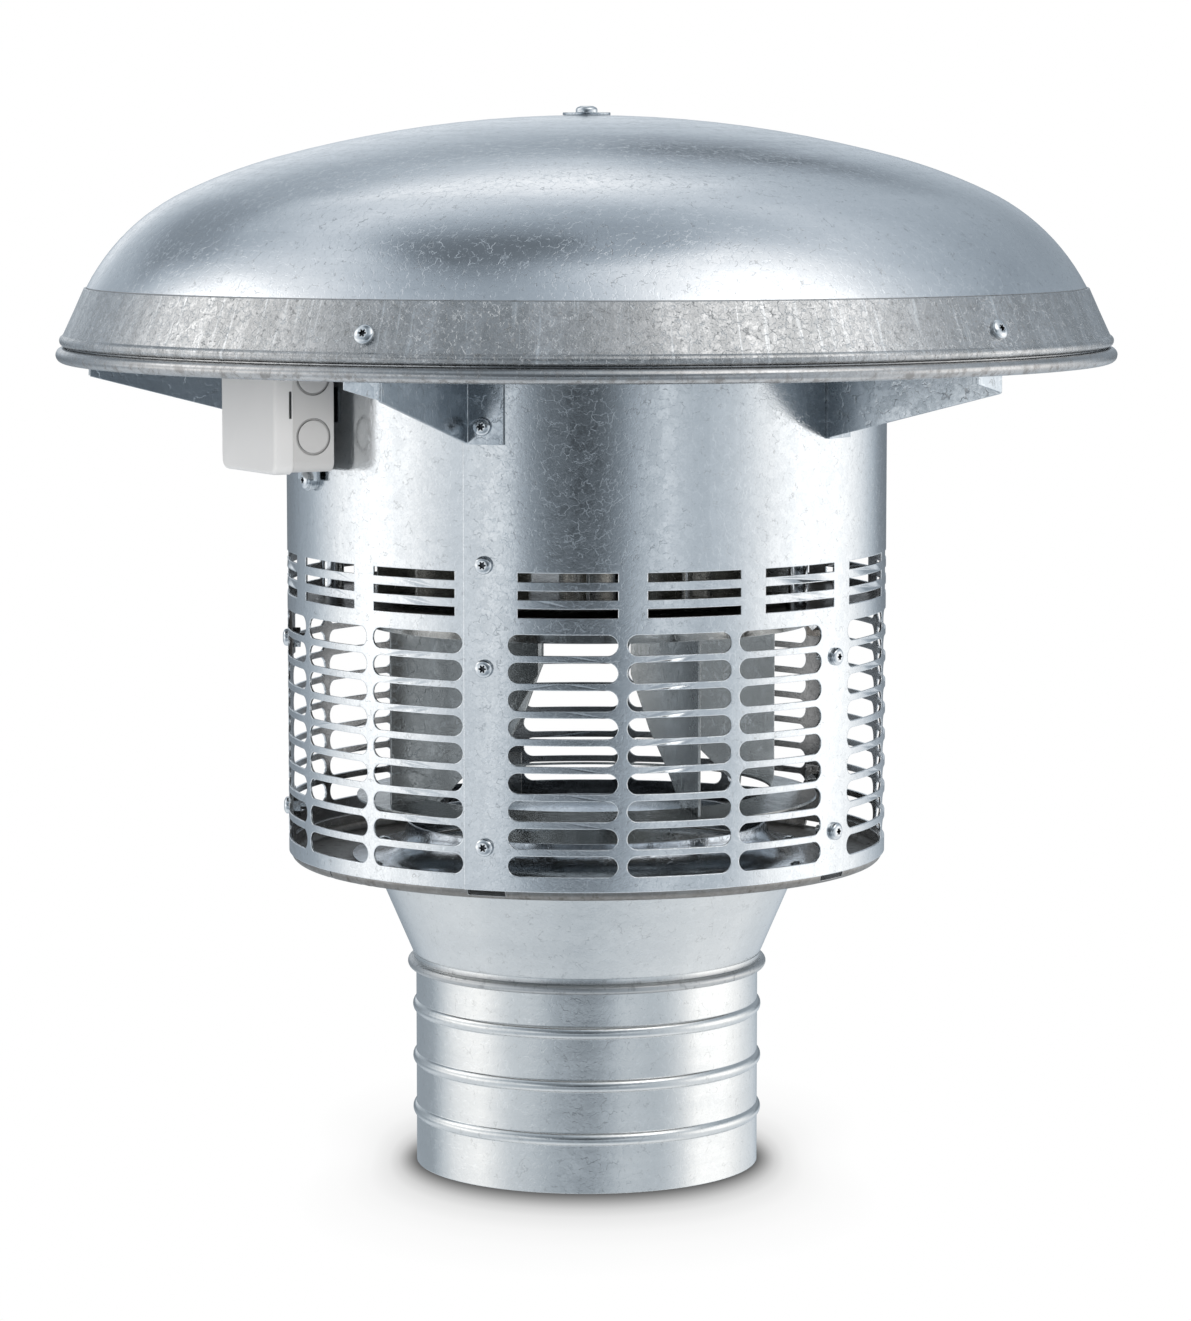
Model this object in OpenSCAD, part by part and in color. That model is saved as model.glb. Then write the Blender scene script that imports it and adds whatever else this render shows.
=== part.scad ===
// Roof-top chimney draught fan. The origin is the centre of the spigot's lower edge, Z points up
// and the front faces -Y. A turn is an angle in degrees round the axis, from the front towards +X.

/* [Flue spigot and inlet] */
// Outside diameter of the spigot that enters the flue
spigot_d = 160; // [146:1:170]
// Height of the rolled joint between the spigot and the transition cone
joint_h = 94.3; // [88:0.1:110]
// Height of the transition cone above the rolled joint
cone_h = 49.2; // [42:0.1:70]
// Radius where the transition cone meets the base pan
inlet_r = 99; // [94:0.5:106]
// Sheet thickness of the spigot, cone, pan and inlet bell
duct_t = 1; // [0.6:0.1:1.5]
// Height of the lowest stiffening bead
bead_first = 25; // [18:0.5:28]
// Distance from one stiffening bead to the next
bead_pitch = 24.5; // [16:0.5:25]
// How far a stiffening bead stands out from the spigot
bead_out = 1.6; // [1:0.1:2]
// Radius of the curve that the inlet bell is formed to
bell_curve = 16; // [12:0.5:18]

/* [Cage] */
// Outside diameter of the perforated wrapper
cage_d = 278; // [270:1:290]
// Height of the perforated wrapper
cage_h = 254; // [248:1:258]
// Sheet thickness of the wrapper
cage_t = 1; // [0.6:0.1:1.5]
// Number of plain strips that the screws go through
strips = 5; // [5:1:5]
// Turn of the strip that carries the wrapper's overlap seam
seam_turn = -18.6; // [-25:0.1:-10]
// Rows of long slots with round ends
slot_rows = 9; // [7:1:9]
// Long slots between one strip and the next
slot_columns = 3; // [3:1:3]
// Height of a long slot
slot_h = 9.2; // [7:0.1:9.4]
// Angle that a long slot spans
slot_span = 20; // [17:0.1:20.5]
// Distance from one row of long slots to the next
slot_pitch = 12.2; // [12:0.1:12.4]
// Rows of square-ended vents
vent_rows = 3; // [1:1:3]
// Height of a vent
vent_h = 4; // [3:0.1:5]
// Distance from one row of vents to the next
vent_pitch = 7.85; // [7:0.05:8]

/* [Dome] */
// Radius of curvature at the top of the dome
crown_top_r = 542; // [500:1:600]
// Radius of curvature of the dome's shoulder
crown_mid_r = 253; // [240:1:270]
// Radius of curvature of the dome's edge
crown_edge_r = 98.4; // [95:0.1:104]
// Sheet thickness of the dome
dome_t = 0.8; // [0.6:0.1:1.2]
// Height of the rim ring's underside above the cage's lower edge
rim_lift = 227.5; // [224:0.5:230]
// Slope of the skirt band from the vertical
skirt_slope = 24.5; // [20:0.5:27]
// Thickness of the bracket sheet
bracket_t = 1.5; // [1:0.1:2]

/* [Impeller] */
// Outside diameter of the impeller
impeller_d = 208; // [200:1:214]
// Number of blades
blades = 4; // [4:1:4]
// Turn of the first blade
blade_turn = 24; // [0:1:45]
// Thickness of the impeller and cooling wheel sheet
impeller_t = 1.2; // [0.8:0.1:1.6]
// Number of vanes on the cooling wheel
vanes = 14; // [8:1:16]

/* [Motor] */
// Diameter of the motor shaft
shaft_d = 12; // [10:0.5:14]
// Outside diameter of the motor case
motor_d = 104; // [98:1:108]
// Height of the motor case between its end shields
motor_h = 66; // [60:1:70]

/* [Junction box] */
// Width and height of the junction box
box_w = 60; // [54:1:64]
// Depth of the box base
box_base_d = 20; // [18:0.5:24]
// Depth of the box lid
box_lid_d = 9; // [7:0.5:12]
// Turn that the junction box faces
box_turn = -62.2; // [-66:0.1:-58]

/* [Hidden] */
$fn = 128;

galvanised = [0.74, 0.77, 0.80];
dull_zinc = [0.60, 0.63, 0.66];
bright_zinc = [0.85, 0.86, 0.88];
slate = [0.42, 0.46, 0.49];
cast_grey = [0.55, 0.56, 0.57];
copper = [0.72, 0.42, 0.22];
core_steel = [0.35, 0.36, 0.38];
lid_grey = [0.88, 0.88, 0.88];
base_grey = [0.62, 0.62, 0.62];

eps = 0.01;
hole_gap = 0.3;
thread_gap = 0.05;
running_gap = 0.05;
spigot_r = spigot_d / 2;
cage_r = cage_d / 2;
cage_in = cage_r - cage_t;
strip_step = 360 / strips;

// Heights, each from the piece below it
pan_z = joint_h + cone_h;
pan_floor = pan_z + duct_t;
pan_rim_show = 4.3;
pan_corner_r = 4;
pan_rim_h = 8.5;
cage_z = pan_z + pan_rim_show;
cage_top = cage_z + cage_h;
slot_first = cage_z + 11.3;
slot_last = slot_first + (slot_rows - 1) * slot_pitch;
partition_z = slot_last + slot_h / 2 + 2.7;
partition_t = 1.2;
partition_top = partition_z + partition_t;
vent_first = partition_top + 5.4;
rim_z = cage_z + rim_lift;

// Fasteners
screw_r = 2.1;
head_r = 4;
head_h = 2.7;
nut_r = 4.6;
nut_h = 3.2;
tab_span = 7.3;
pan_screw_z = cage_z + 19.2;
partition_screw_z = partition_z - 18;
seam_screw_z = partition_z + 27.4;
bracket_screw_z = cage_z + 204.2;

// Geometry helpers

// Turns the local +X axis to face outwards at the given turn
module facing(turn) {
  rotate([0, 0, turn - 90]) children();
}

// A ring, or part of one, from its radii, heights and turns
module ring_part(r_in, r_out, z_low, z_high, turn_0, turn_1) {
  facing(turn_0)
    rotate_extrude(angle = turn_1 - turn_0)
      translate([r_in, z_low])
        square([r_out - r_in, z_high - z_low]);
}

module ring(r_in, r_out, z_low, z_high) {
  translate([0, 0, z_low]) difference() {
    cylinder(r = r_out, h = z_high - z_low);
    translate([0, 0, -1]) cylinder(r = r_in, h = z_high - z_low + 2);
  }
}

// Points along an arc, between two angles measured from the vertical
function arc_points(x, y, r, a0, a1, n) = [
  for (i = [0 : n])
    let (a = a0 + (a1 - a0) * i / n)
      [x + r * sin(a), y + r * cos(a)]
];

function reversed(list) = [for (i = [len(list) - 1 : -1 : 0]) list[i]];

// A screw along +X whose head seats at the origin
module pan_screw(length, shank = screw_r, head = head_r, tall = head_h) {
  ball = 1.25 * head;
  rotate([0, 90, 0]) {
    translate([0, 0, -length]) cylinder(r = shank, h = length + eps);
    difference() {
      intersection() {
        cylinder(r = head, h = tall);
        translate([0, 0, tall - ball]) sphere(r = ball);
      }
      translate([0, 0, tall - 1.3]) cylinder(r = 0.42 * head, h = 2, $fn = 6);
    }
  }
}

// A hexagon nut along +X that starts at the origin
module hex_nut(width_r = nut_r, tall = nut_h, bore = screw_r + thread_gap) {
  rotate([0, 90, 0]) difference() {
    cylinder(r = width_r, h = tall, $fn = 6);
    translate([0, 0, -1]) cylinder(r = bore, h = tall + 2);
  }
}

// A hole along X, centred on the origin
module x_hole(r, reach) {
  rotate([0, 90, 0]) translate([0, 0, -reach / 2]) cylinder(r = r, h = reach);
}

// Radial clearance holes through the wrapper and the tabs behind the strips
module strip_holes(z) {
  for (k = [0 : strips - 1])
    facing(seam_turn + k * strip_step)
      translate([cage_r, 0, z]) x_hole(screw_r + hole_gap, 20);
}

// Space between the tabs that stand behind the strips
module between_tabs(z_low, z_high) {
  for (k = [0 : strips - 1])
    ring_part(cage_in - 3, cage_in + 1, z_low, z_high,
      seam_turn + k * strip_step + tab_span / 2,
      seam_turn + (k + 1) * strip_step - tab_span / 2);
}

// Flue spigot and inlet

collar_h = 4.7;
rolled_bead_r = 2.4;
collar_out = 1.2;

module bead_outline(z) {
  curve = 2.25 * bead_out;
  centre = spigot_r + bead_out - curve;
  intersection() {
    translate([centre, z]) difference() {
      circle(curve);
      circle(curve - duct_t);
    }
    translate([spigot_r - duct_t, z - curve]) square(2 * curve);
  }
}

module bead_groove(z) {
  curve = 2.25 * bead_out;
  translate([spigot_r + bead_out - curve, z]) circle(curve - duct_t);
}

module spigot() {
  color(galvanised) rotate_extrude() {
    difference() {
      translate([spigot_r - duct_t, 0]) square([duct_t, joint_h + collar_h]);
      for (i = [0 : 2]) bead_groove(bead_first + i * bead_pitch);
    }
    for (i = [0 : 2]) bead_outline(bead_first + i * bead_pitch);
  }
}

flange_w = 10;
cone_foot_z = joint_h + collar_h;

module transition_cone() {
  flange_z = pan_z - duct_t;
  color(galvanised) difference() {
    rotate_extrude() {
      // Collar with the rolled bead, seated on the spigot
      translate([spigot_r, joint_h - rolled_bead_r])
        square([collar_out, rolled_bead_r + collar_h]);
      intersection() {
        translate([spigot_r + 1.5, joint_h]) circle(rolled_bead_r);
        translate([spigot_r, joint_h - 5]) square(10);
      }
      polygon([
        [spigot_r, cone_foot_z - 1],
        [spigot_r + collar_out, cone_foot_z - 1],
        [spigot_r + collar_out, cone_foot_z],
        [inlet_r + duct_t, flange_z],
        [inlet_r + duct_t, pan_z],
        [inlet_r, pan_z],
        [spigot_r, cone_foot_z + 0.6]
      ]);
      translate([inlet_r, flange_z]) square([flange_w, duct_t]);
    }
    rivet_holes();
  }
}

rivets = 8;
rivet_r = 2;
rivet_ring_r = inlet_r + flange_w / 2 + 0.8;

module rivet_holes() {
  for (i = [0 : rivets - 1])
    facing((i + 0.5) * 360 / rivets)
      translate([rivet_ring_r, 0, pan_z - 10]) cylinder(r = rivet_r, h = 20);
}

module inlet_rivets() {
  stack = 3 * duct_t;
  color(bright_zinc)
    for (i = [0 : rivets - 1])
      facing((i + 0.5) * 360 / rivets)
        translate([rivet_ring_r, 0, pan_z - duct_t]) {
          translate([0, 0, -1]) cylinder(r = 1.6 * rivet_r, h = 1);
          translate([0, 0, -eps]) cylinder(r = rivet_r, h = stack + 2 * eps);
          translate([0, 0, stack]) intersection() {
            cylinder(r = 1.6 * rivet_r, h = 1.4);
            translate([0, 0, 1.4 - 5]) sphere(r = 5);
          }
        }
}

// Short cuts that let the pan's rim bend round, as the left side shows
relief_turns = [-57, -76];
relief_w = 1.2;

module base_pan() {
  corner_x = cage_in - pan_corner_r;
  rim_top = pan_z + pan_rim_h;
  notch_z = cage_z - 2.6;
  tab_high = pan_screw_z + 8;
  color(galvanised) difference() {
    rotate_extrude() {
      translate([inlet_r, pan_z]) square([corner_x - inlet_r, duct_t]);
      translate([cage_in - duct_t, pan_z + pan_corner_r])
        square([duct_t, tab_high - pan_z - pan_corner_r]);
      translate([corner_x, pan_z + pan_corner_r]) intersection() {
        difference() {
          circle(pan_corner_r);
          circle(pan_corner_r - duct_t);
        }
        translate([0, -pan_corner_r]) square(pan_corner_r);
      }
    }
    // The rim stands high only at the tabs, behind the strips
    between_tabs(rim_top, tab_high + 1);
    for (k = [0 : strips - 1]) {
      turn = seam_turn + k * strip_step;
      ring_part(cage_in - 3, cage_in + 1, notch_z, cage_z - 0.2,
        turn - tab_span / 2, turn + tab_span / 2);
    }
    for (turn = relief_turns)
      facing(turn)
        translate([cage_in - 3, -relief_w / 2, pan_z - 1]) cube([5, relief_w, pan_rim_h + 2]);
    strip_holes(pan_screw_z);
    rivet_holes();
  }
}

module inlet_bell() {
  outer_curve = bell_curve + duct_t / 2;
  centre_x = inlet_r + 0.5;
  color(galvanised) difference() {
    rotate_extrude() {
      translate([centre_x, pan_floor + outer_curve]) intersection() {
        difference() {
          circle(outer_curve);
          circle(outer_curve - duct_t);
        }
        translate([-outer_curve, -outer_curve]) square(outer_curve);
      }
      translate([centre_x, pan_floor]) square([flange_w, duct_t]);
    }
    rivet_holes();
  }
}

// Cage

slot_gap = 1.65;
lap_from = seam_turn - 4;
lap_span = 52;
lap_rise = 0.9;
lap_shift = lap_rise / sin(lap_span);
lap_lean = lap_from + lap_span - 90;
vent_columns = 15;
vent_span = 18.2;
vent_step = 23.55;
vent_start = seam_turn + 15.3;
cut_reach = 12;

// The two rear panels have one row less, half a pitch higher
function is_rear(k) = k == 2 || k == 3;

module slot_outline(w, h) {
  square([w - h, h], center = true);
  for (side = [-1, 1])
    translate([side * (w - h) / 2, 0]) circle(h / 2, $fn = 48);
}

module radial_cut(turn, z) {
  facing(turn)
    translate([cage_r - cut_reach / 2, 0, z])
      rotate([90, 0, 90]) linear_extrude(cut_reach) children();
}

module cage_wall() {
  slot_w = 2 * cage_r * sin(slot_span / 2);
  vent_w = 2 * cage_r * sin(vent_span / 2);
  slot_step = slot_span + slot_gap;
  color(galvanised) difference() {
    union() {
      ring(cage_in, cage_r, cage_z, cage_top);
      // The right-hand end of the sheet laps over the left-hand end and settles back to its circle
      intersection() {
        ring_part(cage_r - cage_t, cage_r + cage_t, cage_z, cage_top, lap_from, lap_from + lap_span);
        facing(lap_lean) translate([lap_shift, 0, cage_z]) cylinder(r = cage_r, h = cage_h);
      }
    }
    for (k = [0 : strips - 1]) {
      raised = is_rear(k) ? 0.5 : 0;
      for (c = [0 : slot_columns - 1])
        for (row = [0 : slot_rows - 1 - 2 * raised])
          radial_cut(
            seam_turn + (k + 0.5) * strip_step + (c - (slot_columns - 1) / 2) * slot_step,
            slot_first + (row + raised) * slot_pitch
          ) slot_outline(slot_w, slot_h);
    }
    for (c = [0 : vent_columns - 1])
      for (row = [0 : vent_rows - 1])
        radial_cut(vent_start + c * vent_step, vent_first + row * vent_pitch)
          square([vent_w, vent_h], center = true);
    strip_holes(pan_screw_z);
    strip_holes(partition_screw_z);
    strip_holes(bracket_screw_z);
    facing(seam_turn) translate([cage_r, 0, seam_screw_z]) x_hole(screw_r + hole_gap, 20);
    facing(box_turn) for (z = box_screw_heights)
      translate([cage_r, 0, z]) x_hole(screw_r + hole_gap, 20);
  }
}

// The wrapper's outer face at a strip; the seam strip stands out by the lap
function seat_r(k) = (k == 0) ? cage_r + lap_rise : cage_r;

// A flat nut face just clear of a curved inner wall
function nut_seat(wall_r) = sqrt(wall_r * wall_r - nut_r * nut_r) - eps;

module cage_screws() {
  color(bright_zinc) {
    for (k = [0 : strips - 1])
      facing(seam_turn + k * strip_step)
        for (z = [pan_screw_z, partition_screw_z])
          translate([seat_r(k), 0, z]) pan_screw(9);
    facing(seam_turn) translate([seat_r(0), 0, seam_screw_z]) pan_screw(9);
  }
}

module cage_nuts() {
  tab_in = cage_in - duct_t;
  color(bright_zinc) {
    for (k = [0 : strips - 1])
      facing(seam_turn + k * strip_step) {
        translate([nut_seat(tab_in), 0, pan_screw_z]) mirror([1, 0, 0]) hex_nut();
        translate([nut_seat(cage_in - partition_t), 0, partition_screw_z])
          mirror([1, 0, 0]) hex_nut();
      }
    facing(seam_turn)
      translate([nut_seat(cage_in), 0, seam_screw_z]) mirror([1, 0, 0]) hex_nut();
  }
}

partition_hole_r = shaft_d / 2 + 5;
post_ring_r = cage_in - 20;
post_r = 5;
post_screw_r = 2.5;

module partition_plate() {
  tab_foot = partition_screw_z - 8;
  color(dull_zinc) difference() {
    rotate_extrude() {
      translate([partition_hole_r, partition_z])
        square([cage_in - partition_hole_r, partition_t]);
      translate([cage_in - partition_t, tab_foot])
        square([partition_t, partition_top - tab_foot]);
    }
    between_tabs(tab_foot - 1, partition_z);
    strip_holes(partition_screw_z);
    post_holes();
  }
}

module at_posts() {
  for (k = [0 : strips - 1])
    facing(seam_turn + k * strip_step) translate([post_ring_r, 0, 0]) children();
}

module post_holes() {
  at_posts() translate([0, 0, partition_z - 5])
    cylinder(r = post_screw_r + hole_gap, h = post_h + 20);
}

wheel_gap = 2.8;
wheel_z = partition_top + wheel_gap;
vane_h = 18.3;
wheel_top = wheel_z + impeller_t + vane_h;
motor_plate_gap = 8.5;
motor_plate_z = wheel_top + motor_plate_gap;
motor_plate_t = 2;
post_h = motor_plate_z - partition_top;
motor_plate_r = post_ring_r + 8;

module motor_posts() {
  color(bright_zinc) at_posts() difference() {
    translate([0, 0, partition_top]) cylinder(r = post_r, h = post_h);
    translate([0, 0, partition_top - 1]) cylinder(r = post_screw_r, h = post_h + 2);
  }
}

module post_screws() {
  color(bright_zinc) at_posts() {
    translate([0, 0, partition_z]) rotate([0, 90, 0]) pan_screw(9, post_screw_r);
    translate([0, 0, motor_plate_z + motor_plate_t]) rotate([0, -90, 0])
      pan_screw(9, post_screw_r);
  }
}

// Motor

shield_rise = 8;
shield_wall = 4;
shield_low = motor_plate_z + motor_plate_t;
case_z = shield_low + shield_rise;
case_top = case_z + motor_h;
motor_r = motor_d / 2;
case_t = 2.5;
ear_r = 6;
ear_ring_r = motor_r + 5;
bolt_r = 2.5;
bearing_r = 16;
bearing_h = 10;
boss_t = 5;
core_h = 38;
core_z = case_z + (motor_h - core_h) / 2;
air_gap = 0.5;
rotor_r = 29.5;
motor_turn = 45;

module at_motor_bolts() {
  for (i = [0 : 3])
    facing(motor_turn + i * 90) translate([ear_ring_r, 0, 0]) children();
}

module motor_plate() {
  color(dull_zinc) difference() {
    ring(shaft_d / 2 + 12, motor_plate_r, motor_plate_z, shield_low);
    post_holes();
    at_motor_bolts() translate([0, 0, motor_plate_z - 1])
      cylinder(r = bolt_r + hole_gap, h = motor_plate_t + 2);
  }
}

module motor_case() {
  color(cast_grey) ring(motor_r - case_t, motor_r, case_z, case_top);
}

// One end shield, with its outer side at the bottom and its bearing seat facing up
module end_shield() {
  floor_z = shield_rise - shield_wall;
  difference() {
    union() {
      ring(motor_r - 6, motor_r, 0, shield_rise);
      ring(shaft_d / 2 + 2, motor_r - 5, floor_z, shield_rise);
      ring(bearing_r, bearing_r + boss_t, floor_z, shield_rise + bearing_h);
      at_motor_bolts() cylinder(r = ear_r, h = shield_rise);
    }
    at_motor_bolts() translate([0, 0, -1])
      cylinder(r = bolt_r + hole_gap, h = shield_rise + 2);
  }
}

module lower_end_shield() {
  color(cast_grey) translate([0, 0, shield_low]) end_shield();
}

module upper_end_shield() {
  color(cast_grey) translate([0, 0, case_top + shield_rise]) mirror([0, 0, 1]) end_shield();
}

module bearing_at(z) {
  color(bright_zinc) ring(shaft_d / 2 + running_gap, bearing_r, z, z + bearing_h);
}

module lower_bearing() {
  bearing_at(case_z);
}

module upper_bearing() {
  bearing_at(case_top - bearing_h);
}

module stator_core() {
  color(core_steel) ring(rotor_r + air_gap, motor_r - case_t, core_z, core_z + core_h);
}

module stator_windings() {
  reach = 9;
  color(copper) {
    ring(rotor_r + 4, motor_r - case_t - 4, core_z - reach, core_z);
    ring(rotor_r + 4, motor_r - case_t - 4, core_z + core_h, core_z + core_h + reach);
  }
}

bolt_length = case_top + shield_rise - motor_plate_z + 8;

module motor_bolts() {
  color(bright_zinc) at_motor_bolts()
    translate([0, 0, motor_plate_z]) rotate([0, 90, 0]) pan_screw(bolt_length, bolt_r);
}

module motor_nuts() {
  color(bright_zinc) at_motor_bolts()
    translate([0, 0, case_top + shield_rise]) rotate([0, -90, 0])
      hex_nut(bore = bolt_r + thread_gap);
}

// Dome

crown_a1 = 15.25;
crown_a2 = 25.5;
crown_a3 = 90 - skirt_slope;
skirt_drop = 29.6;
lap_up = 4.1;
lap_down = 3;

// Centres of the three arcs, from the top centre's own place on the axis
mid_x = (crown_top_r - crown_mid_r) * sin(crown_a1);
mid_y = (crown_top_r - crown_mid_r) * cos(crown_a1);
edge_x = mid_x + (crown_mid_r - crown_edge_r) * sin(crown_a2);
edge_y = mid_y + (crown_mid_r - crown_edge_r) * cos(crown_a2);

// The crown's outer lower end, where it runs straight on inside the skirt band
crown_end_r = edge_x + crown_edge_r * sin(crown_a3);
crown_end_z = rim_z + skirt_drop;
crown_base = crown_end_z - edge_y - crown_edge_r * cos(crown_a3);
crown_top_z = crown_base + crown_top_r;

// Radius of the skirt band's inner and outer face at a height
sheet_w = dome_t / cos(skirt_slope);
function skirt_in(z) = crown_end_r + (crown_end_z - z) * tan(skirt_slope);
function skirt_out(z) = skirt_in(z) + sheet_w;

// A straight piece of sheet that follows the skirt, given by its offset inside the band
module sloped_sheet(z_low, z_high, inset) {
  polygon([
    [skirt_in(z_low) - inset, z_low],
    [skirt_out(z_low) - inset, z_low],
    [skirt_out(z_high) - inset, z_high],
    [skirt_in(z_high) - inset, z_high]
  ]);
}

cap_hole_r = 3.3;

// Points of the crown's face, inset by a depth, from the centre hole down to the skirt lap
function crown_face(depth) = concat(
  arc_points(0, crown_base, crown_top_r - depth, asin(cap_hole_r / crown_top_r), crown_a1, 10),
  arc_points(mid_x, crown_base + mid_y, crown_mid_r - depth, crown_a1 + 1, crown_a2, 6),
  arc_points(edge_x, crown_base + edge_y, crown_edge_r - depth, crown_a2 + 3, crown_a3, 12),
  [[
    skirt_in(crown_end_z - lap_down) - depth * cos(skirt_slope),
    crown_end_z - lap_down - depth * sin(skirt_slope)
  ]]
);

module dome_crown() {
  color(galvanised) rotate_extrude($fn = 256)
    polygon(concat(crown_face(0), reversed(crown_face(dome_t))));
}

lip_r = 2.6;
lip_z = rim_z + 9.9;
lip_x = skirt_out(lip_z) - lip_r + 0.6;
rim_bead_r = 3.4;
rim_bead_x = lip_x + 0.9;
rim_bead_z = rim_z + rim_bead_r;
link_x = lip_x - 1.1;
rim_leg_bend = lip_z + 4;
rim_leg_join = 0.8;
rim_leg_top = lip_z + 6.5;

module dome_skirt() {
  color(galvanised) difference() {
    rotate_extrude($fn = 256) {
      sloped_sheet(lip_z, crown_end_z + lap_up, 0);
      // Rolled lower lip
      translate([lip_x, lip_z]) intersection() {
        difference() {
          circle(lip_r);
          circle(lip_r - dome_t);
        }
        translate([0, -lip_r - 1]) square(2 * lip_r + 2);
      }
    }
    at_dome_screws() x_hole(screw_r + hole_gap, 8);
  }
}

module rim_ring() {
  leg_z = rim_bead_z + 2;
  color(galvanised) rotate_extrude($fn = 256) {
    // Rolled bead
    translate([rim_bead_x, rim_bead_z]) difference() {
      circle(rim_bead_r);
      circle(rim_bead_r - dome_t);
    }
    // Upright leg, whose top leans against the inside of the skirt band
    translate([link_x - sheet_w, leg_z])
      square([sheet_w, rim_leg_bend + rim_leg_join - leg_z]);
    sloped_sheet(rim_leg_bend, rim_leg_top, sheet_w);
  }
}

cap_r = 11;
cap_t = 1.2;
cap_nut_gap = 0.07;

module cap_screw() {
  color(bright_zinc)
    translate([0, 0, crown_top_z + cap_t]) rotate([0, -90, 0]) pan_screw(9, 3, 5, 3.2);
}

module cap_washer() {
  color(bright_zinc) ring(cap_hole_r, cap_r, crown_top_z, crown_top_z + cap_t);
}

module cap_nut() {
  color(bright_zinc)
    translate([0, 0, crown_top_z - dome_t - cap_nut_gap]) rotate([0, 90, 0])
      hex_nut(5.6, 4, 3 + thread_gap);
}

// Dome brackets

// The web is a radial plate beside the strip; its flange lies on the strip, its tab in the skirt
web_turn = -3.06;
flange_span = 6.9;
tab_w = 16.8;
tab_r = skirt_in(rim_z + 26) - 0.9;
tab_low = rim_z - 7.9;
tab_rise = 4.2;
tab_top = rim_z + 21.2;
bracket_low = cage_z + 196.2;
dome_screw_z = rim_z + 19.4;
// Turn of each dome screw from the strip below it
dome_screw_turns = [-4.1, -5.5, -4.6, -4.6, -4.6];

// Places its children on the skirt's outer face, with +X along the screw
module at_dome_screw(k) {
  facing(seam_turn + k * strip_step + dome_screw_turns[k])
    translate([skirt_out(dome_screw_z), 0, dome_screw_z])
      rotate([0, -skirt_slope, 0]) children();
}

module at_dome_screws() {
  for (k = [0 : strips - 1]) at_dome_screw(k) children();
}

module dome_bracket(k) {
  base_r = seat_r(k);
  turn = seam_turn + k * strip_step + web_turn;
  half_web = bracket_t / 2;
  color(slate) difference() {
    union() {
      facing(turn) translate([0, half_web, 0]) rotate([90, 0, 0]) linear_extrude(bracket_t)
        polygon([
          [base_r + half_web, bracket_low + 0.4],
          [tab_r - half_web, tab_low - 0.5],
          [tab_r - half_web, tab_top],
          [base_r + half_web, tab_top]
        ]);
      ring_part(base_r, base_r + bracket_t, bracket_low, tab_top,
        turn, turn + flange_span);
      // The tab's lower edge rises away from the web
      intersection() {
        ring_part(tab_r - bracket_t, tab_r, tab_low - 1, tab_top,
          turn - tab_w / tab_r * 180 / PI, turn);
        facing(turn) translate([tab_r - 10, 0, 0]) rotate([90, 0, 90]) linear_extrude(20)
          polygon([
            [tab_w, tab_low - tab_rise],
            [tab_w, tab_top + 1],
            [-tab_w - 1, tab_top + 1],
            [-tab_w - 1, tab_low + tab_rise * (1 + 1 / tab_w)]
          ]);
      }
    }
    facing(seam_turn + k * strip_step)
      translate([base_r, 0, bracket_screw_z]) x_hole(screw_r + hole_gap, 20);
    at_dome_screw(k) x_hole(screw_r + hole_gap, 30);
  }
}

module dome_bracket_1() {
  dome_bracket(0);
}

module dome_bracket_2() {
  dome_bracket(1);
}

module dome_bracket_3() {
  dome_bracket(2);
}

module dome_bracket_4() {
  dome_bracket(3);
}

module dome_bracket_5() {
  dome_bracket(4);
}

module bracket_screws() {
  color(bright_zinc)
    for (k = [0 : strips - 1])
      facing(seam_turn + k * strip_step)
        translate([seat_r(k) + bracket_t, 0, bracket_screw_z]) pan_screw(9);
}

module bracket_nuts() {
  color(bright_zinc)
    for (k = [0 : strips - 1])
      facing(seam_turn + k * strip_step)
        translate([nut_seat(cage_in), 0, bracket_screw_z]) mirror([1, 0, 0]) hex_nut();
}

module dome_screws() {
  color(bright_zinc) at_dome_screws() pan_screw(11);
}

// Spring nuts folded over the top of each tab, a little to one side of their screws
module clip_nuts() {
  clip_t = 0.8;
  clip_span = 2.2;
  clip_aside = 0.4;
  clip_low = tab_top - 10;
  tab_in = tab_r - bracket_t;
  color(bright_zinc)
    for (k = [0 : strips - 1]) {
      from = seam_turn + k * strip_step + dome_screw_turns[k] - clip_aside - clip_span / 2;
      difference() {
        union() {
          ring_part(tab_r, tab_r + clip_t, clip_low, tab_top + clip_t, from, from + clip_span);
          ring_part(tab_in - clip_t, tab_in, clip_low, tab_top + clip_t, from, from + clip_span);
          ring_part(tab_in - clip_t, tab_r + clip_t, tab_top, tab_top + clip_t,
            from, from + clip_span);
        }
        at_dome_screw(k) x_hole(screw_r + thread_gap, 30);
      }
    }
}

// Junction box

box_back_r = cage_r + 3;
box_plate_t = 1.8;
box_wall = 2;
box_step = 0.8;
box_corner_r = 5;
box_low = cage_z + 180.8;
box_mid = box_low + box_w / 2;
box_screw_heights = [box_low - 4.5, box_low + box_w + 5];
knockout_gap = 26.5;
knockout_r = 8.3;
box_screw_sides = [-12, 12];

module round_square(size, r) {
  square([size - 2 * r, size], center = true);
  square([size, size - 2 * r], center = true);
  for (x = [-1, 1])
    for (y = [-1, 1])
      translate([x * (size / 2 - r), y * (size / 2 - r)]) circle(r, $fn = 48);
}

// Extrudes its children outwards from a distance off the axis
module box_slab(from, to) {
  translate([from, 0, box_mid]) rotate([90, 0, 90]) linear_extrude(to - from) children();
}

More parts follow.
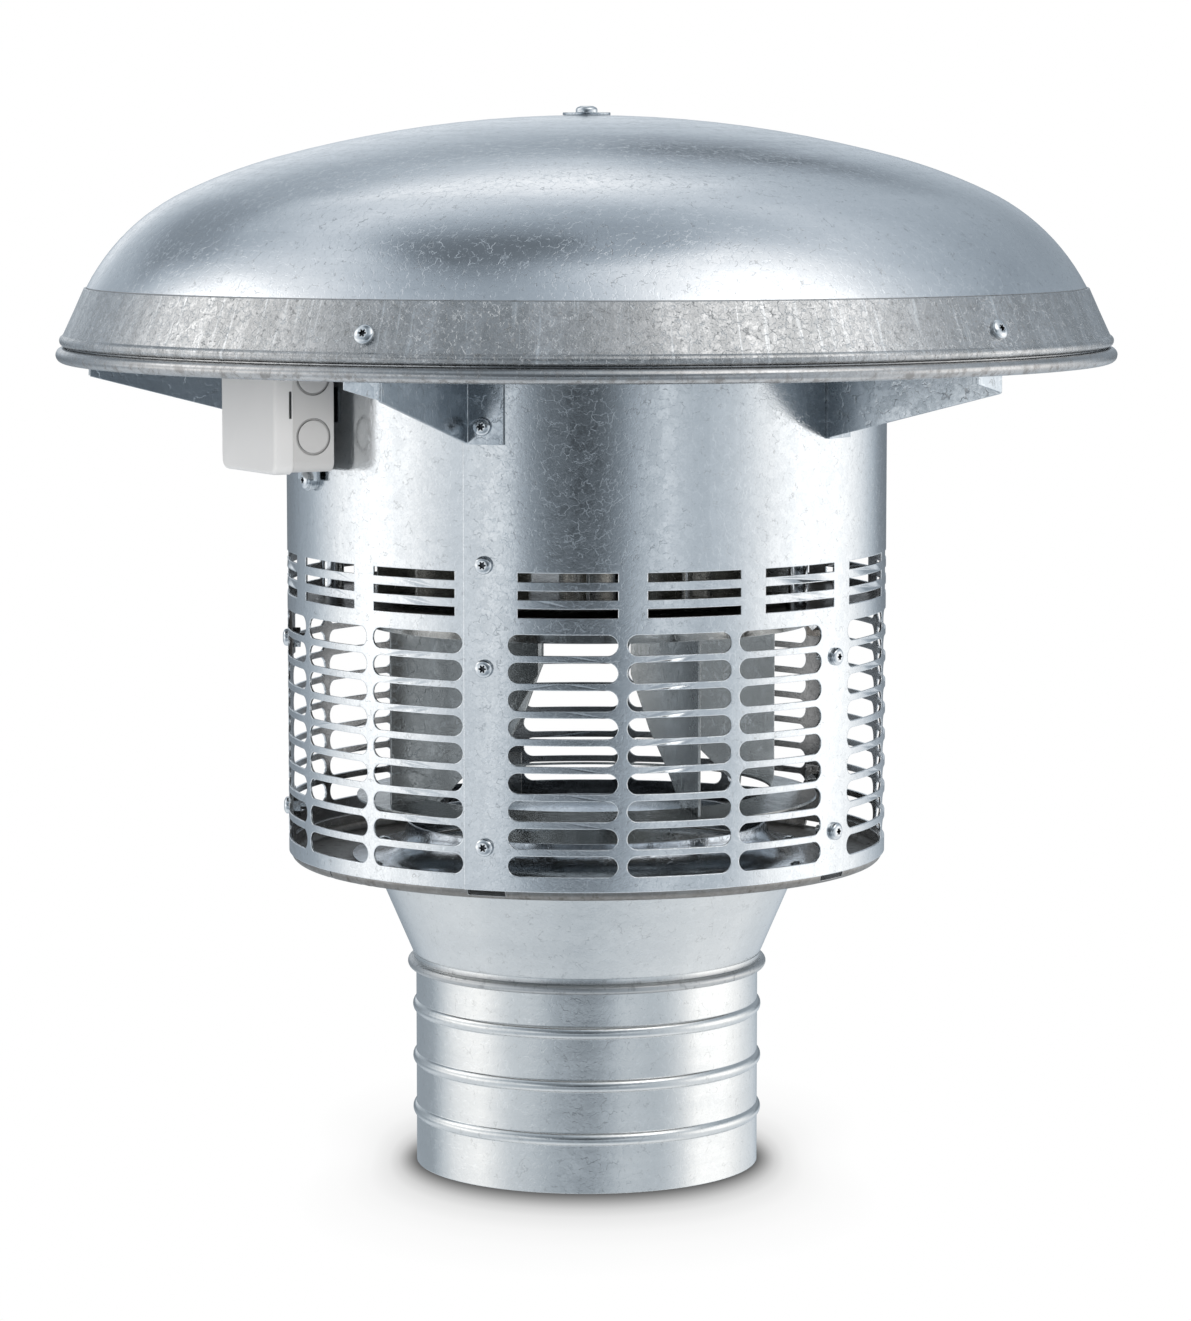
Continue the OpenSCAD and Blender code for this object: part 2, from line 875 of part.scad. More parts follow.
module box_base() {
  size = box_w - 2 * box_step;
  mid_r = box_back_r + box_base_d / 2;
  color(base_grey) facing(box_turn) difference() {
    box_slab(box_back_r, box_back_r + box_base_d) round_square(size, box_corner_r);
    box_slab(box_back_r + box_wall, box_back_r + box_base_d + 1)
      round_square(size - 2 * box_wall, box_corner_r - box_wall);
    // Ring grooves of the knockouts in both sides
    for (side = [-1, 1])
      for (row = [-0.5, 0.5])
        translate([mid_r, side * size / 2, box_mid + row * knockout_gap])
          rotate([90, 0, 0]) difference() {
            cylinder(r = knockout_r, h = 1.6, center = true);
            cylinder(r = knockout_r - 1.1, h = 4, center = true);
          }
    for (y = box_screw_sides)
      translate([box_back_r, y, box_mid]) x_hole(screw_r + hole_gap, 8);
  }
}

module box_lid() {
  inner = box_w - 2 * box_wall;
  front = box_back_r + box_base_d + box_lid_d;
  color(lid_grey) facing(box_turn) difference() {
    intersection() {
      box_slab(front - box_lid_d, front) round_square(box_w, box_corner_r);
      // Softened front edges
      union() {
        box_slab(front - box_lid_d, front - 1) square(2 * box_w, center = true);
        box_slab(front - 1.01, front) round_square(box_w - 2, box_corner_r - 1);
      }
    }
    box_slab(front - box_lid_d - 1, front - box_wall)
      round_square(inner, box_corner_r - box_wall);
    // Slot for the blade that opens the lid, on both sides
    for (side = [-1, 1])
      translate([front - box_lid_d + 0.6, side * box_w / 2, box_mid + 1])
        cube([1.2, 2.4, 12], center = true);
  }
}

module box_bracket() {
  strap_w = 20;
  low = box_screw_heights[0] - 5;
  high = box_screw_heights[1] + 5;
  color(bright_zinc) facing(box_turn) difference() {
    union() {
      translate([box_back_r - box_plate_t, -strap_w / 2, low + 5])
        cube([box_plate_t, strap_w, high - low - 10]);
      for (z = box_screw_heights) {
        translate([box_back_r - box_plate_t, 0, z])
          rotate([0, 90, 0]) cylinder(r = 5, h = box_plate_t);
        translate([cage_r, 0, z])
          rotate([0, 90, 0]) cylinder(r = 4.4, h = box_back_r - cage_r - box_plate_t + eps);
      }
      translate([box_back_r - box_plate_t, -20, box_mid - 8]) cube([box_plate_t, 40, 16]);
    }
    for (z = box_screw_heights) translate([cage_r, 0, z]) x_hole(screw_r + hole_gap, 20);
    for (y = box_screw_sides)
      translate([box_back_r, y, box_mid]) x_hole(screw_r + thread_gap, 8);
  }
}

module box_screws() {
  color(bright_zinc) facing(box_turn) {
    for (z = box_screw_heights) translate([box_back_r, 0, z]) pan_screw(8);
    for (y = box_screw_sides)
      translate([box_back_r + box_wall, y, box_mid])
        pan_screw(box_wall + box_plate_t, head = 3.6, tall = 2.2);
  }
}

module terminal_block() {
  ways = 4;
  pitch = 8;
  color(lid_grey) facing(box_turn) difference() {
    translate([box_back_r + box_wall, -ways * pitch / 2, box_mid + 8])
      cube([9, ways * pitch, 12]);
    for (i = [0 : ways - 1])
      translate([box_back_r + box_wall + 7, (i - (ways - 1) / 2) * pitch, box_mid + 14])
        x_hole(2, 6);
  }
}

// Rotor

hub_low = partition_z - 14;
backplate_top = partition_z - 4.5;
backplate_z = backplate_top - impeller_t;
impeller_r = impeller_d / 2;
front_ring_top = pan_z + 32.7;
front_ring_fall = 2.8;
front_ring_in = inlet_r - bell_curve + 3;
front_ring_out = impeller_r + 3.3;
hub_r = 14;
hub_flange_r = 28;
shaft_low = hub_low + 1;
shaft_top = case_top + 2;

module shaft() {
  color(bright_zinc) difference() {
    translate([0, 0, shaft_low]) cylinder(r = shaft_d / 2, h = shaft_top - shaft_low);
    translate([0, 0, shaft_low - 1]) cylinder(r = 3, h = 15);
  }
}

module rotor_core() {
  color(core_steel) ring(shaft_d / 2, rotor_r, core_z - 1, core_z + core_h + 1);
}

module impeller_hub() {
  color(cast_grey) {
    ring(shaft_d / 2, hub_r, hub_low, backplate_top + eps);
    ring(shaft_d / 2, hub_flange_r, backplate_top, backplate_top + 2.5);
  }
}

hub_washer_t = 1.5;

module hub_washer() {
  color(bright_zinc) ring(3 + hole_gap, 11, hub_low - hub_washer_t, hub_low);
}

module hub_bolt() {
  color(bright_zinc)
    translate([0, 0, hub_low - hub_washer_t]) rotate([0, 90, 0]) pan_screw(13, 3, 5.2, 3.6);
}

backplate_rim_h = 5.7;

module impeller_backplate() {
  color(slate) {
    ring(hub_r, impeller_r, backplate_z, backplate_top);
    ring(impeller_r - impeller_t, impeller_r, backplate_top - backplate_rim_h, backplate_z + eps);
  }
}

// The blades' plan is an arc that passes the axis by an offset and bows away from it
blade_offset = 9.8;
blade_bow = 3.1;
blade_curve = 226;
blade_straight = 27;
blade_knee = [16, 50.8];
blade_toe = 5;
blade_weld_gap = 0.05;

module blade(i) {
  rim_in = impeller_r - impeller_t - blade_weld_gap;
  reach = blade_offset + impeller_t / 2;
  tip_x = sqrt(rim_in * rim_in - reach * reach);
  inner_x = hub_flange_r + 1;
  foot_x = front_ring_in;
  foot_z = front_ring_top + blade_weld_gap;
  tip_z = foot_z - front_ring_fall * (tip_x - foot_x) / (front_ring_out - front_ring_in);
  color(slate) facing(blade_turn + i * 360 / blades) intersection() {
    translate([0, 2 * blade_offset, 0]) rotate([90, 0, 0]) linear_extrude(2 * blade_offset)
      polygon([
        [inner_x, backplate_z],
        [inner_x, backplate_z - blade_straight],
        [inner_x + blade_knee[0], backplate_z - blade_knee[1]],
        [foot_x - 3, foot_z - blade_toe],
        [foot_x - 0.5, foot_z - blade_toe],
        [foot_x, foot_z],
        [tip_x, tip_z],
        [tip_x, backplate_z]
      ]);
    translate([(inner_x + tip_x) / 2, blade_offset + blade_bow - blade_curve, 0])
      ring(blade_curve - impeller_t / 2, blade_curve + impeller_t / 2,
        foot_z - blade_toe - 1, backplate_z + 1);
  }
}

module blade_1() {
  blade(0);
}

module blade_2() {
  blade(1);
}

module blade_3() {
  blade(2);
}

module blade_4() {
  blade(3);
}

// Shallow cone that stiffens the blades at the inlet side
module front_ring() {
  color(slate) rotate_extrude() polygon([
    [front_ring_in, front_ring_top],
    [front_ring_out, front_ring_top - front_ring_fall],
    [front_ring_out, front_ring_top - front_ring_fall - impeller_t],
    [front_ring_in, front_ring_top - impeller_t]
  ]);
}

wheel_r = 100;
vane_in_r = 62;
vane_curve = 46;

module cooling_wheel() {
  vane_z = wheel_z + impeller_t;
  color(bright_zinc) {
    ring(shaft_d / 2, wheel_r, wheel_z, vane_z);
    ring(shaft_d / 2, 13, vane_z - eps, vane_z + 12);
    // Vanes curved in plan, cut from a thin tube between two radii
    intersection() {
      ring(vane_in_r, wheel_r - 1, vane_z - eps, wheel_top);
      for (i = [0 : vanes - 1])
        facing(i * 360 / vanes)
          translate([vane_in_r + 18, vane_curve - 4, vane_z - eps]) difference() {
            cylinder(r = vane_curve, h = vane_h + eps);
            translate([0, 0, -1]) cylinder(r = vane_curve - impeller_t, h = vane_h + 3);
            translate([-100, 0, -1]) cube([200, 100, vane_h + 3]);
          }
    }
  }
}

spigot();
transition_cone();
base_pan();
inlet_bell();
inlet_rivets();
cage_wall();
cage_screws();
cage_nuts();
partition_plate();
motor_posts();
post_screws();
motor_plate();
motor_case();
lower_end_shield();
upper_end_shield();
lower_bearing();
upper_bearing();
stator_core();
stator_windings();
motor_bolts();
motor_nuts();
dome_crown();
dome_skirt();
rim_ring();
cap_screw();
cap_washer();
cap_nut();
dome_screws();
clip_nuts();
dome_bracket_1();
dome_bracket_2();
dome_bracket_3();
dome_bracket_4();
dome_bracket_5();
bracket_screws();
bracket_nuts();
box_base();
box_lid();
box_bracket();
box_screws();
terminal_block();
shaft();
rotor_core();
impeller_hub();
hub_bolt();
hub_washer();
impeller_backplate();
blade_1();
blade_2();
blade_3();
blade_4();
front_ring();
cooling_wheel();
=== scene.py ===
"""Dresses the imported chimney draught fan: finishes, screw heads, box lid, studio and camera."""

import logging
import math
from dataclasses import dataclass
from dataclasses import field
from dataclasses import replace
from enum import Enum
from typing import Any
from typing import Iterable
from typing import Sequence

import bmesh
import bpy
from mathutils import Matrix
from mathutils import Vector


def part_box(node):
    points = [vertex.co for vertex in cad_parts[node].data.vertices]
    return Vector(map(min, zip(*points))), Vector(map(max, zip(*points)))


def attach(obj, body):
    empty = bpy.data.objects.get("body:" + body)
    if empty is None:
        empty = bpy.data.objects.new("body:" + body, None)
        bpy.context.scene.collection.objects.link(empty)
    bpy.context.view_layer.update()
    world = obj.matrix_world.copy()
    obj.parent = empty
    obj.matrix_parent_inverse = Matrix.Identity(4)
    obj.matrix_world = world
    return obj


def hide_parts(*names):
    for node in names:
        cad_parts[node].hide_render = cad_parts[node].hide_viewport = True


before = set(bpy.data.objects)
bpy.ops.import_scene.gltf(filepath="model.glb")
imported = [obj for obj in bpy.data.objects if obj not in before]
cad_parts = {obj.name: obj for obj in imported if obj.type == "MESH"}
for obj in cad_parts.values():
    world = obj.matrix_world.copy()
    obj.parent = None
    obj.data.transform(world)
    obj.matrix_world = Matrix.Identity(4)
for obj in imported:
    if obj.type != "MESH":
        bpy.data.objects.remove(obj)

log = logging.getLogger("fan")

MM = 0.001
CROWN_CURVES = ((0.0, 542.0), (76.02, 253.0), (142.57, 98.4))
SKIRT_LEAN = 0.91
Colour = tuple[float, float, float, float]
Point = tuple[float, float, float]


def tone(red: int, green: int, blue: int) -> Colour:
    """Turns a colour written from 0 to 255, as a screen shows it, into linear light.

    Args:
        red: Red part.
        green: Green part.
        blue: Blue part.

    Returns:
        The linear colour with full alpha.
    """
    linear = []
    for part in (red, green, blue):
        share = part / 255
        linear.append(share / 12.92 if share <= 0.04045 else ((share + 0.055) / 1.055) ** 2.4)
    return (linear[0], linear[1], linear[2], 1.0)


class Graph:
    """Adds nodes to one node tree and joins them."""

    def __init__(self, tree: bpy.types.NodeTree) -> None:
        """Keeps the tree that the nodes go into."""
        self.tree = tree

    def add(self, kind: str, **settings: Any) -> bpy.types.Node:
        """Adds a node.

        Args:
            kind: Blender's name of the node type.
            **settings: Properties to set on the node.

        Returns:
            The new node.
        """
        node = self.tree.nodes.new(kind)
        for name, value in settings.items():
            setattr(node, name, value)
        return node

    def feed(self, socket: bpy.types.NodeSocket, source: Any) -> None:
        """Joins a source to a socket, or writes a plain value on it.

        Args:
            socket: The input to feed.
            source: An output socket or a value.
        """
        if isinstance(source, bpy.types.NodeSocket):
            self.tree.links.new(source, socket)
        else:
            socket.default_value = source

    def math(self, operation: str, first: Any, second: Any = 0.0, clamp: bool = False) -> Any:
        """Adds a Math node.

        Args:
            operation: Blender's name of the operation.
            first: First value or socket.
            second: Second value or socket.
            clamp: Whether the result is kept from 0 to 1.

        Returns:
            The output socket.
        """
        node = self.add("ShaderNodeMath", operation=operation, use_clamp=clamp)
        self.feed(node.inputs[0], first)
        self.feed(node.inputs[1], second)
        return node.outputs[0]

    def vector(self, operation: str, first: Any, second: Any = (0.0, 0.0, 0.0)) -> bpy.types.Node:
        """Adds a Vector Math node.

        Args:
            operation: Blender's name of the operation.
            first: First vector or socket.
            second: Second vector or socket.

        Returns:
            The node.
        """
        node = self.add("ShaderNodeVectorMath", operation=operation)
        self.feed(node.inputs[0], first)
        self.feed(node.inputs[1], second)
        return node

    def scaled(self, source: Any, factor: Any) -> Any:
        """Scales a vector socket by a number or a value socket."""
        node = self.add("ShaderNodeVectorMath", operation="SCALE")
        self.feed(node.inputs[0], source)
        self.feed(node.inputs["Scale"], factor)
        return node.outputs[0]

    def joined(self, x: Any, y: Any, z: Any) -> Any:
        """Makes a vector from three values or sockets."""
        node = self.add("ShaderNodeCombineXYZ")
        self.feed(node.inputs[0], x)
        self.feed(node.inputs[1], y)
        self.feed(node.inputs[2], z)
        return node.outputs[0]

    def span(self, value: Any, low: float, high: float, start: float = 0.0, end: float = 1.0) -> Any:
        """Maps a value softly from one range to another and stops at its ends.

        Args:
            value: The value or socket.
            low: Value that gives the start.
            high: Value that gives the end.
            start: Result at low.
            end: Result at high.

        Returns:
            The output socket.
        """
        node = self.add("ShaderNodeMapRange", interpolation_type="SMOOTHSTEP")
        self.feed(node.inputs["Value"], value)
        node.inputs["From Min"].default_value = low
        node.inputs["From Max"].default_value = high
        node.inputs["To Min"].default_value = start
        node.inputs["To Max"].default_value = end
        return node.outputs["Result"]

    def noise(self, place: Any, scale: Any, detail: float = 2.0, rough: float = 0.5) -> Any:
        """Adds a Noise Texture.

        Args:
            place: Vector socket.
            scale: Features a metre, as a value or socket.
            detail: Octaves.
            rough: Share of the finer octaves.

        Returns:
            The factor socket.
        """
        node = self.add("ShaderNodeTexNoise")
        self.feed(node.inputs["Vector"], place)
        self.feed(node.inputs["Scale"], scale)
        node.inputs["Detail"].default_value = detail
        node.inputs["Roughness"].default_value = rough
        return node.outputs["Fac"]

    def mix(self, factor: Any, first: Any, second: Any, blend: str = "MIX") -> Any:
        """Mixes two colours.

        Args:
            factor: Share of the second colour.
            first: First colour or socket.
            second: Second colour or socket.
            blend: Blender's name of the way to mix.

        Returns:
            The colour socket.
        """
        node = self.add("ShaderNodeMix", data_type="RGBA", blend_type=blend)
        self.feed(node.inputs[0], factor)
        self.feed(node.inputs[6], first)
        self.feed(node.inputs[7], second)
        return node.outputs[2]

    def blend_values(self, factor: Any, first: Any, second: Any) -> Any:
        """Mixes two plain values by a factor."""
        node = self.add("ShaderNodeMix", data_type="FLOAT")
        self.feed(node.inputs[0], factor)
        self.feed(node.inputs[2], first)
        self.feed(node.inputs[3], second)
        return node.outputs[0]

    def ramp(self, value: Any, stops: Sequence[tuple[float, float]]) -> Any:
        """Reads a level from a list of stops.

        Args:
            value: Where to read, from 0 to 1.
            stops: Places from 0 to 1 and the level at each.

        Returns:
            The colour socket, in grey.
        """
        node = self.add("ShaderNodeValToRGB")
        self.feed(node.inputs[0], value)
        elements = node.color_ramp.elements
        while len(elements) > 1:
            elements.remove(elements[-1])
        for index, (place, level) in enumerate(stops):
            element = elements[0] if index == 0 else elements.new(place)
            element.position = place
            element.color = (level, level, level, 1.0)
        return node.outputs[0]

    def group(self, tree: bpy.types.NodeTree, **inputs: Any) -> bpy.types.Node:
        """Places a node group.

        Args:
            tree: The group.
            **inputs: Values or sockets by input name, with _ for a space.

        Returns:
            The group node.
        """
        node = self.add("ShaderNodeGroup", node_tree=tree)
        for name, source in inputs.items():
            self.feed(node.inputs[name.replace("_", " ")], source)
        return node


@dataclass(frozen=True)
class Socket:
    """One socket of a node group."""

    name: str
    kind: str = "NodeSocketFloat"
    value: float | None = None


class Effects:
    """The shader node groups that the finishes share."""

    def __init__(self) -> None:
        """Builds every group once."""
        self.place = self._sheet_place()
        self.skin = self._zinc_skin()
        self.drawn = self._drawn_lines()
        self.edges = self._edge_highlight()
        self.crown = self._crown_lean()
        self.even = self._even_sheet()
        self.grime_and_shade = self._grime_and_shade()

    def _start(
        self, name: str, inputs: Iterable[Socket], outputs: Iterable[Socket]
    ) -> tuple[Graph, bpy.types.Node, bpy.types.Node]:
        """Makes an empty group with its sockets.

        Args:
            name: Name of the group.
            inputs: Its inputs.
            outputs: Its outputs.

        Returns:
            The graph, the input node and the output node.
        """
        tree = bpy.data.node_groups.new(name, "ShaderNodeTree")
        for side, sockets in (("INPUT", inputs), ("OUTPUT", outputs)):
            for socket in sockets:
                made = tree.interface.new_socket(
                    name=socket.name, in_out=side, socket_type=socket.kind
                )
                if socket.value is not None:
                    made.default_value = socket.value
        return Graph(tree), tree.nodes.new("NodeGroupInput"), tree.nodes.new("NodeGroupOutput")

    def _sheet_place(self) -> bpy.types.NodeTree:
        """Builds places on sheet that is wrapped or spun round the axis.

        Returns:
            A group with the point, a place for upright streaks and one for lines round the axis.
        """
        graph, _, end = self._start(
            "sheet_place",
            [],
            [
                Socket("Point", "NodeSocketVector"),
                Socket("Upright", "NodeSocketVector"),
                Socket("Round", "NodeSocketVector"),
                Socket("Height"),
            ],
        )
        point = graph.add("ShaderNodeTexCoord").outputs["Object"]
        parts = graph.add("ShaderNodeSeparateXYZ")
        graph.feed(parts.inputs[0], point)
        level = graph.joined(parts.outputs[0], parts.outputs[1], 0.0)
        radius = graph.vector("LENGTH", level).outputs["Value"]
        outward = graph.vector("NORMALIZE", level).outputs[0]
        height = parts.outputs[2]
        wrapped = graph.scaled(outward, 0.2)
        upright = graph.vector(
            "ADD", wrapped, graph.joined(0.0, 0.0, graph.math("MULTIPLY", height, 0.06))
        ).outputs[0]
        path = graph.math("SUBTRACT", radius, height)
        hoop = graph.vector(
            "ADD", graph.scaled(outward, 0.012), graph.joined(0.0, 0.0, path)
        ).outputs[0]
        graph.feed(end.inputs["Point"], point)
        graph.feed(end.inputs["Upright"], upright)
        graph.feed(end.inputs["Round"], hoop)
        graph.feed(end.inputs["Height"], height)
        return graph.tree

    def _zinc_skin(self) -> bpy.types.NodeTree:
        """Builds the crystals of hot-dip zinc, with wiggly lines between some of them.

        Returns:
            A group with masks for patches, light lines, dark cracks, specks and wide clouds.
        """
        graph, start, end = self._start(
            "zinc_skin",
            [Socket("Point", "NodeSocketVector"), Socket("Density", value=120.0)],
            [
                Socket("Patches"),
                Socket("Lines"),
                Socket("Cracks"),
                Socket("Specks"),
                Socket("Clouds"),
            ],
        )
        point = start.outputs["Point"]
        density = start.outputs["Density"]
        stir = graph.add("ShaderNodeTexNoise")
        graph.feed(stir.inputs["Vector"], point)
        graph.feed(stir.inputs["Scale"], graph.math("MULTIPLY", density, 1.2))
        stir.inputs["Detail"].default_value = 3.0
        shift = graph.vector("SUBTRACT", stir.outputs["Color"], (0.5, 0.5, 0.5)).outputs[0]
        reach = graph.math("DIVIDE", 1.5, density)
        wavy = graph.vector("ADD", point, graph.scaled(shift, reach)).outputs[0]
        cells = graph.add("ShaderNodeTexVoronoi", feature="F1")
        graph.feed(cells.inputs["Vector"], wavy)
        graph.feed(cells.inputs["Scale"], density)
        patch = graph.add("ShaderNodeSeparateColor")
        graph.feed(patch.inputs[0], cells.outputs["Color"])
        fine = graph.noise(point, graph.math("MULTIPLY", density, 3.0), 4.0, 0.65)
        patches = graph.math("ADD", graph.math("MULTIPLY", patch.outputs[0], 0.3), fine)
        rims = graph.add("ShaderNodeTexVoronoi", feature="DISTANCE_TO_EDGE")
        graph.feed(rims.inputs["Vector"], wavy)
        graph.feed(rims.inputs["Scale"], graph.math("MULTIPLY", density, 0.75))
        thin = graph.span(rims.outputs["Distance"], 0.0, 0.05, 1.0, 0.0)
        broken = graph.noise(point, graph.math("MULTIPLY", density, 0.85), 3.0)
        specks = graph.span(
            graph.noise(point, graph.math("MULTIPLY", density, 6.5), 2.0), 0.69, 0.75
        )
        graph.feed(end.inputs["Patches"], graph.span(patches, 0.42, 0.88))
        light = graph.math("MULTIPLY", thin, graph.span(broken, 0.46, 0.58))
        dark = graph.math("MULTIPLY", thin, graph.span(broken, 0.46, 0.36))
        graph.feed(end.inputs["Lines"], light)
        graph.feed(end.inputs["Cracks"], dark)
        graph.feed(end.inputs["Specks"], specks)
        graph.feed(end.inputs["Clouds"], graph.span(graph.noise(point, 17.0, 3.0), 0.35, 0.65))
        return graph.tree

    def _drawn_lines(self) -> bpy.types.NodeTree:
        """Builds the long marks that rolling, spinning or wiping leaves.

        Returns:
            A group with masks for fine lines and for a soft banding.
        """
        graph, start, end = self._start(
            "drawn_lines",
            [Socket("Place", "NodeSocketVector"), Socket("Density", value=900.0)],
            [Socket("Lines"), Socket("Bands")],
        )
        place = start.outputs["Place"]
        density = start.outputs["Density"]
        fine = graph.noise(place, density, 3.0, 0.6)
        wide = graph.noise(place, graph.math("MULTIPLY", density, 0.16), 2.0, 0.5)
        graph.feed(end.inputs["Lines"], graph.span(fine, 0.56, 0.72))
        graph.feed(end.inputs["Bands"], graph.span(wide, 0.36, 0.64))
        return graph.tree

    def _edge_highlight(self) -> bpy.types.NodeTree:
        """Builds the mask of a cut or folded edge, for a painted highlight line along it, and the edge's
        soft turn.

        Returns:
            A group with the edge's mask and its rounded normal.
        """
        graph, start, end = self._start(
            "edge_highlight",
            [Socket("Width", value=0.0005)],
            [Socket("Edge"), Socket("Normal", "NodeSocketVector")],
        )
        bevel = graph.add("ShaderNodeBevel", samples=6)
        graph.feed(bevel.inputs["Radius"], start.outputs["Width"])
        shape = graph.add("ShaderNodeNewGeometry")
        same = graph.vector("DOT_PRODUCT", bevel.outputs[0], shape.outputs["Normal"])
        edge = graph.span(same.outputs["Value"], 0.98, 0.86)
        graph.feed(end.inputs["Edge"], edge)
        graph.feed(end.inputs["Normal"], bevel.outputs[0])
        return graph.tree

    def _crown_lean(self) -> bpy.types.NodeTree:
        """Builds the outward lean of the crown, which is spun to three radii of curvature.

        Returns:
            A group with the outward share of the crown's normal.
        """
        graph, start, end = self._start(
            "crown_lean", [Socket("Point", "NodeSocketVector")], [Socket("Lean")]
        )
        parts = graph.add("ShaderNodeSeparateXYZ")
        graph.feed(parts.inputs[0], start.outputs["Point"])
        level = graph.joined(parts.outputs[0], parts.outputs[1], 0.0)
        radius = graph.vector("LENGTH", level).outputs["Value"]
        lean: Any = 0.0
        for middle, curve in CROWN_CURVES:
            reach = graph.math("SUBTRACT", radius, middle * MM)
            lean = graph.math("MAXIMUM", lean, graph.math("DIVIDE", reach, curve * MM))
        graph.feed(end.inputs["Lean"], graph.math("MINIMUM", lean, SKIRT_LEAN))
        return graph.tree

    def _even_sheet(self) -> bpy.types.NodeTree:
        """Builds the even normal of sheet that is rolled or spun round the axis.

        The CAD's long triangles carry a few wrong normals at a rolled sheet's ends, and its
        steps round a spun one show as rings. Both would be seen in the reflections.

        Returns:
            A group with the normal, a mask of where the mesh's own normals can be trusted and
            a mask of the sheet's inner face.
        """
        graph, start, end = self._start(
            "even_sheet",
            [Socket("Point", "NodeSocketVector"), Socket("Lean", value=1.0)],
            [Socket("Normal", "NodeSocketVector"), Socket("Trust"), Socket("Inside")],
        )
        parts = graph.add("ShaderNodeSeparateXYZ")
        graph.feed(parts.inputs[0], start.outputs["Point"])
        level = graph.joined(parts.outputs[0], parts.outputs[1], 0.0)
        level = graph.vector("NORMALIZE", level).outputs[0]
        lean = start.outputs["Lean"]
        up = graph.math("SUBTRACT", 1.0, graph.math("MULTIPLY", lean, lean), clamp=True)
        rise = graph.joined(0.0, 0.0, graph.math("SQRT", up))
        outward = graph.vector("ADD", graph.scaled(level, lean), rise).outputs[0]
        shape = graph.add("ShaderNodeNewGeometry")
        facing = graph.vector("DOT_PRODUCT", shape.outputs["True Normal"], outward)
        side = graph.math("SIGN", facing.outputs["Value"])
        wall = graph.math("GREATER_THAN", graph.math("ABSOLUTE", facing.outputs["Value"]), 0.985)
        even = graph.add("ShaderNodeMix", data_type="VECTOR")
        graph.feed(even.inputs[0], wall)
        graph.feed(even.inputs[4], shape.outputs["Normal"])
        graph.feed(even.inputs[5], graph.scaled(outward, side))
        same = graph.vector("DOT_PRODUCT", shape.outputs["Normal"], shape.outputs["True Normal"])
        graph.feed(end.inputs["Normal"], even.outputs[1])
        graph.feed(end.inputs["Trust"], graph.span(same.outputs["Value"], 0.975, 0.99))
        graph.feed(end.inputs["Inside"], graph.math("LESS_THAN", facing.outputs["Value"], -0.9))
        return graph.tree

    def _grime_and_shade(self) -> bpy.types.NodeTree:
        """Builds a darkening below a height: brown dirt on some sheets, painted shade in a joint on
        others.

        Returns:
            A group with the mask.
        """
        graph, start, end = self._start(
            "grime_and_shade",
            [
                Socket("Point", "NodeSocketVector"),
                Socket("Height"),
                Socket("Top", value=0.38),
                Socket("Reach", value=0.01),
                Socket("Even", value=0.0),
            ],
            [Socket("Mask")],
        )
        depth = graph.math("SUBTRACT", start.outputs["Top"], start.outputs["Height"])
        near = graph.math("DIVIDE", depth, start.outputs["Reach"], clamp=True)
        spread = graph.span(graph.noise(start.outputs["Point"], 230.0, 5.0, 0.7), 0.46, 0.64)
        spread = graph.math("MAXIMUM", spread, start.outputs["Even"])
        graph.feed(end.inputs["Mask"], graph.math("MULTIPLY", near, spread))
        return graph.tree


class Form(Enum):
    """The way a sheet is formed, where the finish smooths the mesh's normals after it."""

    ANY = "any"
    ROLLED = "rolled"
    CROWN = "crown"


class Run(Enum):
    """The way that drawn marks run on a sheet."""

    UPRIGHT = "Upright"
    ROUND = "Round"


